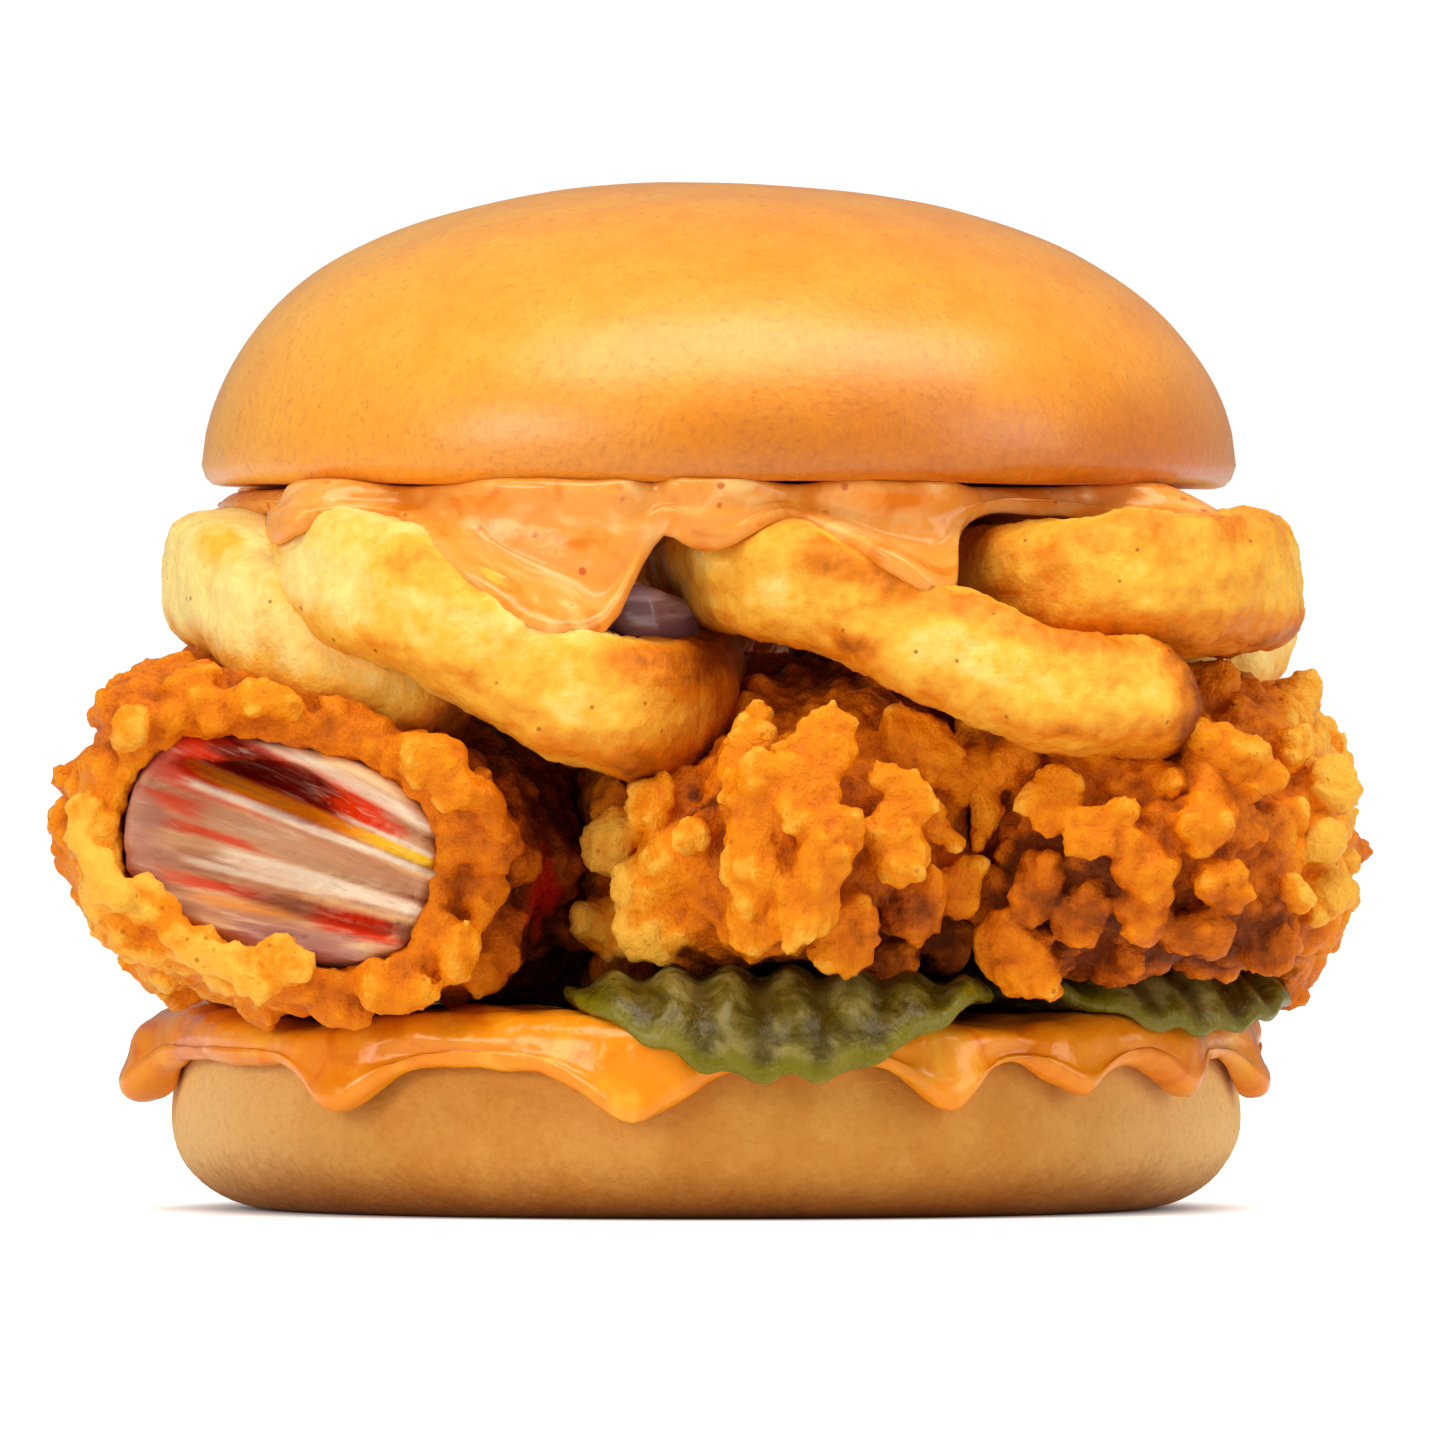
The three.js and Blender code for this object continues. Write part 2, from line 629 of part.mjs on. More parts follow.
const fries = new Map();
for (const [name, fry] of Object.entries(FRIES)) {
  const neighbours = [...fries.values()].map((solid) => grown(solid, CLEARANCE));
  fries.set(name, cutClearOf(solidFrom(bentCapsule(fry, FINE_CAPSULE)), neighbours));
}
const fryKeepOut = joined([...fries.values()].map((solid) => grown(solid, CLEARANCE)));
const onion = cutClearOf(solidFrom(bentCapsule(ONION, FINE_CAPSULE)), [fryKeepOut]);
const toppingRoom = joined(
  [...Object.values(FRIES), ONION].map((shape) => solidFrom(bentCapsule(shape, ROOM_CAPSULE, ROOM_MARGIN))),
);

const chickenRoom = [lowerRoomSolid(), pickleRoom, toppingRoom];
const middleRoom = MIDDLE_PIECE.coreSolid(-MIDDLE_ROOM, 3);
const right = cutClearOf(RIGHT_PIECE.coatedSolid(), [...chickenRoom, middleRoom]);
const leftRoom = [...chickenRoom, middleRoom, tearSolid(TEAR_RADIUS)];
const meat = cutClearOf(LEFT_PIECE.coreSolid(COATING_THICKNESS, 3), leftRoom);
const meatRoom = LEFT_PIECE.coreSolid(COATING_THICKNESS - CLEARANCE, 3);
const coating = cutClearOf(LEFT_PIECE.coatedSolid(), [...leftRoom, meatRoom]);
const sideRooms = [grown(right, CHICKEN_GAP), right, grown(coating, CHICKEN_GAP), coating];
const middle = cutClearOf(MIDDLE_PIECE.coatedSolid(), [...chickenRoom, ...sideRooms]);

const upperSauce = cutClearOf(upperSauceSolid(joined([...fries.values()])), [
  fryKeepOut,
  grown(onion, CLEARANCE),
]);

const burger = new THREE.Group();

function addPiece(name, solid, finish) {
  const mesh = new THREE.Mesh(geometryFrom(solid), finish);
  mesh.name = name;
  burger.add(mesh);
}

addPiece("bun_heel", heel, HEEL_TAN);
addPiece("sauce_lower", lowerSauce, SAUCE_ORANGE);
for (const [name, solid] of pickles) addPiece(name, solid, PICKLE_GREEN);
addPiece("chicken_left_coating", coating, COATING_GOLD);
addPiece("chicken_left_meat", meat, MEAT_PINK);
addPiece("chicken_middle", middle, COATING_GOLD);
addPiece("chicken_right", right, COATING_GOLD);
for (const [name, solid] of fries) addPiece(name, solid, POTATO_YELLOW);
addPiece("onion_strip", onion, ONION_PURPLE);
addPiece("sauce_upper", upperSauce, SAUCE_PINK);
addPiece("bun_crown", crown, CRUST_BROWN);

export default burger;
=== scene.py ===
"""The looks of a chicken burger: a glazed bun, craggy fried chicken, curled fries, pickles and two sauces.

Forms are worked out in millimetres and turned into metres as each mesh is stored.
+Z is up and -Y is the front.
"""
import sys
import itertools
import logging
import math
from dataclasses import dataclass, field
from enum import Enum
from typing import Any, Callable, Sequence

import bmesh
import bpy
import numpy as np
from mathutils import Matrix, Quaternion, Vector
from mathutils.bvhtree import BVHTree


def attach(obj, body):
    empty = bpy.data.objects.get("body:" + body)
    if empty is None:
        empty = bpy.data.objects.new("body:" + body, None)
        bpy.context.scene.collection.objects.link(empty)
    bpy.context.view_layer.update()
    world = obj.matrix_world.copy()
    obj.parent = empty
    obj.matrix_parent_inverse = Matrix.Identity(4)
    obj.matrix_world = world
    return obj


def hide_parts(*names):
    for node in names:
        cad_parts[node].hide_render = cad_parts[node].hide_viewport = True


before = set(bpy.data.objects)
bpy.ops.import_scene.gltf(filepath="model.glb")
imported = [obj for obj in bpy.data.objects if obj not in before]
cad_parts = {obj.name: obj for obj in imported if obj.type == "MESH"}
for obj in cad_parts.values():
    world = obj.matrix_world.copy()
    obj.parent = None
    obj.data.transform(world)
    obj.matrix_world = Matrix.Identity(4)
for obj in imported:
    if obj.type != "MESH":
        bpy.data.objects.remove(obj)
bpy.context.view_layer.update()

log = logging.getLogger("burger")

MM = 0.001
BODY = "root"

Colour = tuple[float, float, float]
Profile = list[tuple[float, float]]

WARM_GLINT: Colour = (1.0, 0.78, 0.45)
WHITE: Colour = (1.0, 1.0, 1.0)
BLACK: Colour = (0.0, 0.0, 0.0)


# Noise

CORNERS = [np.array(corner) for corner in itertools.product((0, 1), repeat=3)]
PRIMES = np.array([374761393, 668265263, 2147483647], np.int64)
SEED_PRIME = 144665
SEED_STRIDE = 17.31


def hashed(cells: np.ndarray, seed: int) -> np.ndarray:
    """Gives each lattice cell three repeatable numbers.

    Args:
        cells: whole numbers, one row of three for each cell.
        seed: picks one of many such patterns.

    Returns:
        One row of three numbers from 0 to 1 for each cell.
    """
    mask = 0xFFFFFFFF
    mixed = (cells @ PRIMES + seed * SEED_PRIME) & mask
    numbers = []
    for factor in (1274126177, 2246822519, 3266489917):
        mixed = ((mixed ^ (mixed >> 13)) * factor) & mask
        mixed = mixed ^ (mixed >> 16)
        numbers.append(mixed / mask)
    return np.stack(numbers, axis=1)


@dataclass(frozen=True)
class Noise:
    """Repeatable noise over points in millimetres, whose lumps are about `size` across."""

    size: float
    seed: int

    def smooth(self, points: np.ndarray) -> np.ndarray:
        """Works out smooth noise.

        Args:
            points: one row of three for each place.

        Returns:
            A number from about -1 to 1 for each place.
        """
        scaled = points / self.size + SEED_STRIDE * self.seed
        base = np.floor(scaled).astype(np.int64)
        part = scaled - base
        fade = part**3 * (part * (6 * part - 15) + 10)
        total = np.zeros(len(points))
        for corner in CORNERS:
            slope = 2 * hashed(base + corner, self.seed) - 1
            weight = np.prod(np.where(corner == 1, fade, 1 - fade), axis=1)
            total += weight * np.einsum("ij,ij->i", slope, part - corner)
        return 1.7 * total

    def vector(self, points: np.ndarray) -> np.ndarray:
        """Gives three numbers from about -1 to 1 for each place, for bending other noise."""
        parts = [Noise(self.size, self.seed + 101 * k).smooth(points) for k in range(3)]
        return np.stack(parts, axis=1)

    def ridges(self, points: np.ndarray) -> np.ndarray:
        """Gives 1 along sharp crests and falls to about -1 between them."""
        return 1 - 3 * np.abs(self.smooth(points))


def smoothstep(low: float, high: float, values: np.ndarray) -> np.ndarray:
    """Rises smoothly from 0 at `low` to 1 at `high`, which may be the smaller one."""
    share = np.clip((values - low) / (high - low), 0, 1)
    return share * share * (3 - 2 * share)


# Meshes

def object_from(shape: bmesh.types.BMesh, name: str) -> bpy.types.Object:
    """Stores a shape in millimetres as a smooth object in metres.

    Args:
        shape: the finished shape, which is freed.
        name: the piece's name.

    Returns:
        The object, linked to the scene.
    """
    bmesh.ops.recalc_face_normals(shape, faces=shape.faces)
    bmesh.ops.scale(shape, vec=(MM, MM, MM), verts=shape.verts)
    mesh = bpy.data.meshes.new(name)
    shape.to_mesh(mesh)
    shape.free()
    mesh.shade_smooth()
    obj = bpy.data.objects.new(name, mesh)
    bpy.context.scene.collection.objects.link(obj)
    return obj


def copied_node(node: str) -> bmesh.types.BMesh:
    """Copies a CAD node's mesh.

    Args:
        node: the node's name.

    Returns:
        The copy in millimetres, with its doubles merged.
    """
    shape = bmesh.new()
    shape.from_mesh(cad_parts[node].data)
    bmesh.ops.remove_doubles(shape, verts=shape.verts, dist=0.02 * MM)
    bmesh.ops.scale(shape, vec=(1 / MM, 1 / MM, 1 / MM), verts=shape.verts)
    return shape


def remeshed(obj: bpy.types.Object, voxel: float) -> None:
    """Fuses a piece's shells into one even mesh.

    Args:
        obj: the piece.
        voxel: how many millimetres wide its faces become.
    """
    modifier = obj.modifiers.new("Remesh", "REMESH")
    modifier.mode = "VOXEL"
    modifier.voxel_size = voxel * MM
    modifier.adaptivity = 0.0
    bpy.context.view_layer.update()
    evaluated = obj.evaluated_get(bpy.context.evaluated_depsgraph_get())
    mesh = bpy.data.meshes.new_from_object(evaluated)
    obj.modifiers.clear()
    old = obj.data
    obj.data = mesh
    bpy.data.meshes.remove(old)
    mesh.name = obj.name
    mesh.shade_smooth()


def search_tree(obj: bpy.types.Object) -> BVHTree:
    """Gives a search tree of a piece's faces, in metres."""
    return BVHTree.FromObject(obj, bpy.context.evaluated_depsgraph_get())


def distances(tree: BVHTree, points: np.ndarray) -> np.ndarray:
    """Gives how many millimetres each point is from a tree's faces."""
    return np.array([tree.find_nearest(Vector(point) * MM)[3] for point in points]) / MM


class Surface:
    """A piece's vertices as arrays in millimetres, for moving them by rules."""

    def __init__(self, obj: bpy.types.Object) -> None:
        """Reads the vertices and edges of a piece.

        Args:
            obj: the piece.
        """
        self.obj = obj
        mesh = obj.data
        count = len(mesh.vertices)
        self.points = np.zeros(count * 3)
        mesh.vertices.foreach_get("co", self.points)
        self.points = self.points.reshape(-1, 3) / MM
        edges = np.zeros(len(mesh.edges) * 2, np.int32)
        mesh.edges.foreach_get("vertices", edges)
        self.edges = edges.reshape(-1, 2)
        self.degree = np.bincount(edges, minlength=count).clip(1)

    def normals(self) -> np.ndarray:
        """Works out the outward direction at each vertex, of the points as they are now.

        Returns:
            One row of three for each vertex.
        """
        self.store()
        found = np.zeros(len(self.points) * 3)
        self.obj.data.vertex_normals.foreach_get("vector", found)
        return found.reshape(-1, 3)

    def neighbour_mean(self, values: np.ndarray) -> np.ndarray:
        """Averages values over each vertex's neighbours.

        Args:
            values: one number for each vertex.

        Returns:
            The means.
        """
        one, two = self.edges.T
        count = len(self.points)
        total = np.bincount(one, values[two], count) + np.bincount(two, values[one], count)
        return total / self.degree

    def evened(self, values: np.ndarray, rounds: int, share: float = 0.6) -> np.ndarray:
        """Smooths values over the surface.

        Args:
            values: one row or number for each vertex.
            rounds: how many times to average.
            share: how far each round moves towards the average.

        Returns:
            The smoothed values.
        """
        flat = values if values.ndim == 2 else values[:, None]
        for _ in range(rounds):
            mean = np.stack([self.neighbour_mean(column) for column in flat.T], axis=1)
            flat = flat + share * (mean - flat)
        return flat if values.ndim == 2 else flat[:, 0]

    def push(self, amount: np.ndarray | float) -> None:
        """Moves every vertex outwards by its amount in millimetres."""
        self.points = self.points + self.normals() * np.reshape(amount, (-1, 1))

    def relax(self, rounds: int, share: float = 0.6) -> None:
        """Softens the form."""
        self.points = self.evened(self.points, rounds, share)

    def convexity(self, rounds: int) -> np.ndarray:
        """Tells crests from hollows: millimetres above the smoothed form, below 0 in a hollow."""
        return np.einsum("ij,ij->i", self.points - self.evened(self.points, rounds), self.normals())

    def mark(self, name: str, values: np.ndarray) -> None:
        """Stores a number from 0 to 1 for each vertex as an attribute that a finish reads."""
        attribute = self.obj.data.attributes.new(name, "FLOAT", "POINT")
        attribute.data.foreach_set("value", np.clip(values, 0, 1).astype(np.float32))

    def store(self) -> None:
        """Writes the points back to the mesh."""
        self.obj.data.vertices.foreach_set("co", (self.points * MM).astype(np.float32).ravel())
        self.obj.data.update()


def ball_shape(rounds: int) -> tuple[np.ndarray, np.ndarray]:
    """Makes a ball of radius 1 to be bent and copied many times.

    Args:
        rounds: how finely it is split.

    Returns:
        Its vertices and its triangles, one row of three for each.
    """
    shape = bmesh.new()
    bmesh.ops.create_icosphere(shape, subdivisions=rounds, radius=1)
    points = np.array([vert.co for vert in shape.verts])
    faces = np.array([[vert.index for vert in face.verts] for face in shape.faces])
    shape.free()
    return points, faces


class Crumbs:
    """Many small bent balls, gathered before they are joined to a piece."""

    def __init__(self) -> None:
        """Starts with none, and with a plain and a fine ball to bend."""
        self.plain = ball_shape(2)
        self.fine = ball_shape(4)
        self.points: list[np.ndarray] = []
        self.faces: list[np.ndarray] = []
        self.count = 0

    def add(self, points: np.ndarray, faces: np.ndarray) -> None:
        """Adds one ball that was bent already.

        Args:
            points: its vertices in millimetres.
            faces: its triangles.
        """
        self.points.append(points)
        self.faces.append(faces + self.count)
        self.count += len(points)

    def join_to(self, obj: bpy.types.Object) -> None:
        """Adds them all to a piece's mesh.

        Args:
            obj: the piece.
        """
        loose = bpy.data.meshes.new("crumbs")
        loose.from_pydata(np.concatenate(self.points) * MM, [], np.concatenate(self.faces).tolist())
        shape = bmesh.new()
        shape.from_mesh(obj.data)
        shape.from_mesh(loose)
        shape.to_mesh(obj.data)
        shape.free()
        bpy.data.meshes.remove(loose)


def keep_largest(obj: bpy.types.Object) -> None:
    """Removes every part of a piece's mesh that isn't joined to its largest part.

    Args:
        obj: the piece.
    """
    surface = Surface(obj)
    one, two = surface.edges.T
    labels = np.arange(len(surface.points))
    while True:
        least = np.minimum(labels[one], labels[two])
        joined = labels.copy()
        np.minimum.at(joined, one, least)
        np.minimum.at(joined, two, least)
        joined = joined[joined]
        if np.array_equal(joined, labels):
            break
        labels = joined
    kept = np.bincount(labels).argmax()
    loose = np.flatnonzero(labels != kept)
    if len(loose):
        shape = bmesh.new()
        shape.from_mesh(obj.data)
        shape.verts.ensure_lookup_table()
        bmesh.ops.delete(shape, geom=[shape.verts[index] for index in loose], context="VERTS")
        shape.to_mesh(obj.data)
        shape.free()


def rounded(profile: Profile, rounds: int) -> Profile:
    """Cuts the corners of a profile again and again, so that it runs in smooth curves.

    Args:
        profile: the points to start from, of which the ends stay.
        rounds: how many times to cut.

    Returns:
        The smooth profile.
    """
    for _ in range(rounds):
        inner = []
        for (r0, z0), (r1, z1) in zip(profile[:-1], profile[1:]):
            inner.append((0.75 * r0 + 0.25 * r1, 0.75 * z0 + 0.25 * z1))
            inner.append((0.25 * r0 + 0.75 * r1, 0.25 * z0 + 0.75 * z1))
        profile = [profile[0], *inner, profile[-1]]
    return profile


def turned(profile_at: Callable[[float], Profile], sides: int) -> bmesh.types.BMesh:
    """Spins a form whose profile may differ at each angle.

    Args:
        profile_at: gives radius and height pairs that start and end on the axis, for an angle that
            is 0 at the front and grows towards +X.
        sides: the number of turns.

    Returns:
        The closed shape.
    """
    profiles = [profile_at(2 * math.pi * side / sides) for side in range(sides)]
    shape = bmesh.new()
    blank = [shape.verts.new((0, -1, step)) for step in range(len(profiles[0]))]
    edges = [shape.edges.new(pair) for pair in zip(blank[:-1], blank[1:])]
    bmesh.ops.spin(shape, geom=blank + edges, axis=(0, 0, 1), cent=(0, 0, 0), angle=2 * math.pi,
                   steps=sides, use_merge=True)
    for vert in shape.verts:
        angle = math.atan2(vert.co.x, -vert.co.y) % (2 * math.pi)
        side = round(angle * sides / (2 * math.pi)) % sides
        radius, height = profiles[side][round(vert.co.z)]
        turn = 2 * math.pi * side / sides
        vert.co = (radius * math.sin(turn), -radius * math.cos(turn), height)
    bmesh.ops.remove_doubles(shape, verts=shape.verts, dist=1e-4)
    return shape


# Shader maths

class Field:
    """A number that varies over a surface, so that shader maths reads as arithmetic."""

    def __init__(self, bench: "Bench", socket: bpy.types.NodeSocket) -> None:
        """Wraps one output socket."""
        self.bench = bench
        self.socket = socket

    def math(self, operation: str, other: Any = 0.0, clamp: bool = False) -> "Field":
        """Adds one Math node.

        Args:
            operation: what it does.
            other: its second number, after this one.
            clamp: holds the result between 0 and 1.

        Returns:
            The result.
        """
        settings = {"operation": operation, "use_clamp": clamp}
        node = self.bench.node("ShaderNodeMath", settings, {0: self, 1: other})
        return Field(self.bench, node.outputs[0])

    def __add__(self, other: Any) -> "Field":
        """Adds."""
        return self.math("ADD", other)

    __radd__ = __add__

    def __sub__(self, other: Any) -> "Field":
        """Subtracts."""
        return self.math("SUBTRACT", other)

    def __rsub__(self, other: Any) -> "Field":
        """Subtracts this from a number."""
        return self.math("MULTIPLY", -1.0) + other

    def __mul__(self, other: Any) -> "Field":
        """Multiplies."""
        return self.math("MULTIPLY", other)

    __rmul__ = __mul__

    def clamped(self) -> "Field":
        """Holds the number between 0 and 1."""
        return self.math("ADD", 0.0, clamp=True)

    def step(self, low: float, high: float) -> "Field":
        """Rises smoothly from 0 to 1.

        Args:
            low: where the result is 0.
            high: where it is 1, which may be the smaller one.

        Returns:
            The result.
        """
        settings = {"interpolation_type": "SMOOTHSTEP"}
        inputs = {"Value": self, "From Min": low, "From Max": high, "To Min": 0.0, "To Max": 1.0}
        return Field(self.bench, self.bench.node("ShaderNodeMapRange", settings, inputs).outputs[0])


class Bench:
    """A new material and its nodes."""

    def __init__(self, name: str) -> None:
        """Starts a material with a bare shader.

        Args:
            name: the material's name.
        """
        self.material = bpy.data.materials.new(name)
        self.material.use_nodes = True
        self.tree = self.material.node_tree
        self.shader = self.tree.nodes["Principled BSDF"]
        self.coordinates = self.node("ShaderNodeTexCoord", {}, {}).outputs["Object"]

    def node(self, kind: str, settings: dict[str, Any], inputs: dict[Any, Any]) -> bpy.types.Node:
        """Adds a node.

        Args:
            kind: the node's type.
            settings: its properties, and `stops` for a colour ramp.
            inputs: the values or links of its sockets, by name or place.

        Returns:
            The node.
        """
        node = self.tree.nodes.new(kind)
        for key, value in settings.items():
            if key == "stops":
                self._set_stops(node.color_ramp, value)
            else:
                setattr(node, key, value)
        for key, value in inputs.items():
            self.join(node.inputs[key], value)
        return node

    def _set_stops(self, ramp: bpy.types.ColorRamp, stops: Sequence[tuple[float, Colour]]) -> None:
        """Fills a colour ramp.

        Args:
            ramp: the ramp.
            stops: places from 0 to 1 and their colours.
        """
        while len(ramp.elements) < len(stops):
            ramp.elements.new(1.0)
        for element, (place, colour) in zip(ramp.elements, stops):
            element.position = place
            element.color = (*colour, 1.0)

    def join(self, socket: bpy.types.NodeSocket, value: Any) -> None:
        """Sets a socket to a number or colour, or links it.

        Args:
            socket: the socket.
            value: a number, a colour, a field or another socket.
        """
        if isinstance(value, Field):
            value = value.socket
        if isinstance(value, bpy.types.NodeSocket):
            self.tree.links.new(value, socket)
        elif socket.type == "RGBA" and len(value) == 3:
            socket.default_value = (*value, 1.0)
        else:
            socket.default_value = value

    def attribute(self, name: str) -> Field:
        """Reads a number that the mesh holds at each vertex."""
        return Field(self, self.node("ShaderNodeAttribute", {"attribute_name": name}, {}).outputs["Fac"])

    def place(self, axis: str) -> Field:
        """Gives the place along one axis, in millimetres."""
        node = self.node("ShaderNodeSeparateXYZ", {}, {0: self.coordinates})
        return Field(self, node.outputs[axis]) * (1 / MM)

    def stretched(self, stretch: tuple[float, float, float]) -> bpy.types.NodeSocket:
        """Gives coordinates scaled along each axis."""
        return self.node("ShaderNodeMapping", {}, {"Vector": self.coordinates, "Scale": stretch}).outputs[0]

    def noise(self, size: float, detail: float = 3.0, rough: float = 0.5, warp: float = 0.0,
              vector: bpy.types.NodeSocket | None = None) -> Field:
        """Adds cloudy noise.

        Args:
            size: how many millimetres a lump is across.
            detail: how many finer layers it has.
            rough: how strong the finer layers are.
            warp: how far it is bent.
            vector: other coordinates to read.

        Returns:
            Noise from 0 to 1, with most of it between 0.35 and 0.65.
        """
        inputs = {"Vector": vector or self.coordinates, "Scale": 1 / (size * MM), "Detail": detail,
                  "Roughness": rough, "Distortion": warp}
        return Field(self, self.node("ShaderNodeTexNoise", {}, inputs).outputs["Fac"])

    def cells(self, size: float) -> Field:
        """Gives the distance from the nearest of scattered points about `size` millimetres apart."""
        inputs = {"Vector": self.coordinates, "Scale": 1 / (size * MM)}
        return Field(self, self.node("ShaderNodeTexVoronoi", {}, inputs).outputs["Distance"])

    def ramp(self, value: Field, stops: Sequence[tuple[float, Colour]]) -> bpy.types.NodeSocket:
        """Turns a number into a colour by stops."""
        return self.node("ShaderNodeValToRGB", {"stops": stops}, {0: value}).outputs["Color"]

    def mix(self, share: Field, first: Any, second: Any) -> bpy.types.NodeSocket:
        """Mixes two colours by a share of the second one."""
        settings = {"data_type": "RGBA", "clamp_factor": True}
        return self.node("ShaderNodeMix", settings, {0: share, 6: first, 7: second}).outputs[2]

    def bump(self, height: Field, depth: float,
             under: bpy.types.NodeSocket | None = None) -> bpy.types.NodeSocket:
        """Raises fine relief.

        Args:
            height: the relief from 0 to 1.
            depth: how many millimetres 1 stands for.
            under: relief that this one lies on.

        Returns:
            The bent normal.
        """
        inputs: dict[Any, Any] = {"Height": height, "Distance": depth * MM, "Strength": 1.0}
        if under is not None:
            inputs["Normal"] = under
        return self.node("ShaderNodeBump", {}, inputs).outputs[0]

    def dressed(self, colour: Any, rough: Field, normal: Any, glint: float = 0.5,
                coat: tuple[float, float] = (0.0, 0.1),
                depth: tuple[float, Colour] = (0.0, WHITE)) -> bpy.types.Material:
        """Finishes a food, whose glints are warm.

        Args:
            colour: its colour over the surface.
            rough: its roughness over the surface.
            normal: its fine relief.
            glint: how strongly it shines.
            coat: how much wet film lies on it, and that film's roughness.
            depth: how much light enters it, and how many millimetres each colour goes.

        Returns:
            The material.
        """
        varying = {"Base Color": colour, "Roughness": rough, "Normal": normal}
        fixed = {"Specular IOR Level": glint, "Specular Tint": WARM_GLINT, "Coat Weight": coat[0],
                 "Coat Roughness": coat[1], "Subsurface Weight": depth[0], "Subsurface Scale": MM,
                 "Subsurface Radius": depth[1]}
        return self.finished(varying, fixed)

    def finished(self, varying: dict[str, Any], fixed: dict[str, Any]) -> bpy.types.Material:
        """Joins the shader's sockets.

        Args:
            varying: what changes over the surface, by socket name.
            fixed: what is the same all over.

        Returns:
            The material.
        """
        for name, value in {**varying, **fixed}.items():
            self.join(self.shader.inputs[name], value)
        return self.material


# Finishes

@dataclass(frozen=True)
class CrustFinish:
    """The crown's glazed crust: golden on top, browner low on its side, with painted shade on its low front,
    painted light towards its left, and a fine baked grain.
    """

    golden: Colour = (0.87, 0.275, 0.004)
    light: Colour = (0.94, 0.42, 0.035)
    brown: Colour = (0.5, 0.105, 0.003)
    rim_height: float = 73.0
    top_height: float = 92.0

    def build(self) -> bpy.types.Material:
        """Makes the material.

        Returns:
            The material.
        """
        bench = Bench("bun_crust_finish")
        height = bench.place("Z") + (bench.noise(18, 3) - 0.5) * 12
        # Painted shade: this mask picks the low front of the crown, less so towards its left, which is
        # browned to stand in for the shade that falls there.
        front = bench.place("Y").step(30, -45) * bench.place("X").step(-48, 20)
        low = height.step(self.top_height - 6, self.rim_height + 3)
        blotches = bench.noise(7, 5, 0.65).step(0.35, 0.68)
        grain = bench.noise(0.85, 3, 0.7)
        # Painted light: the crown is lighter towards its left, standing in for the light that falls on that
        # side.
        sunny = bench.place("X").step(14, -46)
        colour = bench.mix((blotches * 0.5 + sunny * 0.5).clamped(), self.golden, self.light)
        colour = bench.mix(grain.step(0.56, 0.7) * 0.3, colour, self.brown)
        # The browning low on the side is partly real baking and, at the front, painted shade.
        browning = low * (0.12 + front * 0.66) + (grain - 0.5) * 0.6 + (blotches - 0.5) * 0.16
        colour = bench.mix(browning.clamped(), colour, self.brown)
        normal = bench.bump(bench.noise(2.6, 5, 0.6), 0.2, bench.bump(grain, 0.12))
        rough = 0.36 + (grain - 0.5) * 0.2 + (blotches - 0.5) * 0.08
        return bench.dressed(colour, rough, normal, coat=(0.62, 0.3))


@dataclass(frozen=True)
class HeelFinish:
    """The heel's soft baked side: pale tan and speckled, with painted light towards its left and right ends
    and painted shade that darkens it towards its base.
    """

    tan: Colour = (0.6, 0.24, 0.035)
    pale: Colour = (0.67, 0.3, 0.055)
    light: Colour = (0.92, 0.56, 0.2)
    brown: Colour = (0.36, 0.09, 0.006)
    # middle and side: the distances from the middle where the painted light towards the ends begins and where
    # it is full.
    middle: float = 28.0
    side: float = 54.0

    def build(self) -> bpy.types.Material:
        """Makes the material.

        Returns:
            The material.
        """
        bench = Bench("bun_heel_finish")
        height = bench.place("Z")
        # Painted shade: the heel darkens towards its base, standing in for the shade low on its side.
        low = (height + (bench.noise(9, 4) - 0.5) * 5).step(7, -1)
        specks = bench.noise(0.9, 4, 0.75)
        blotches = bench.noise(6, 4, 0.6).step(0.36, 0.66)
        colour = bench.mix(blotches, self.tan, self.pale)
        aside = bench.place("X")
        # Painted light: the heel turns lighter towards its left and right ends, where the light falls on
        # them.
        colour = bench.mix((aside * aside).step(self.middle**2, self.side**2), colour, self.light)
        # Brown is mixed in for the real specks and for the painted shade towards the base.
        colour = bench.mix((low * 0.85 + (specks - 0.5) * 1.1).clamped(), colour, self.brown)
        normal = bench.bump(bench.noise(2.4, 4), 0.16, bench.bump(specks, 0.22))
        rough = 0.62 + (specks - 0.5) * 0.3
        return bench.dressed(colour, rough, normal, glint=0.25)


@dataclass(frozen=True)
class SauceFinish:
    """A wet creamy sauce with faint streaks and, where it is spiced, small flecks."""

    name: str
    body: Colour
    pale: Colour
    deep: Colour
    fleck: Colour
    flecks: float

    def build(self) -> bpy.types.Material:
        """Makes the material.

        Returns:
            The material.
        """
        bench = Bench(self.name)
        swirl = bench.noise(7, 3, 0.5, warp=1.2)
        colour = bench.mix(swirl.step(0.5, 0.72), self.body, self.pale)
        colour = bench.mix(swirl.step(0.47, 0.3), colour, self.deep)
        spots = bench.cells(2.6).step(0.2, 0.12) * bench.noise(6, 2).step(0.48, 0.58)
        colour = bench.mix(spots * self.flecks, colour, self.fleck)
        normal = bench.bump(bench.noise(2.2, 2, 0.45), 0.3)
        rough = 0.18 + swirl * 0.12
        return bench.dressed(colour, rough, normal, glint=0.45, coat=(0.28, 0.1),
                             depth=(0.2, (3.0, 1.6, 0.8)))


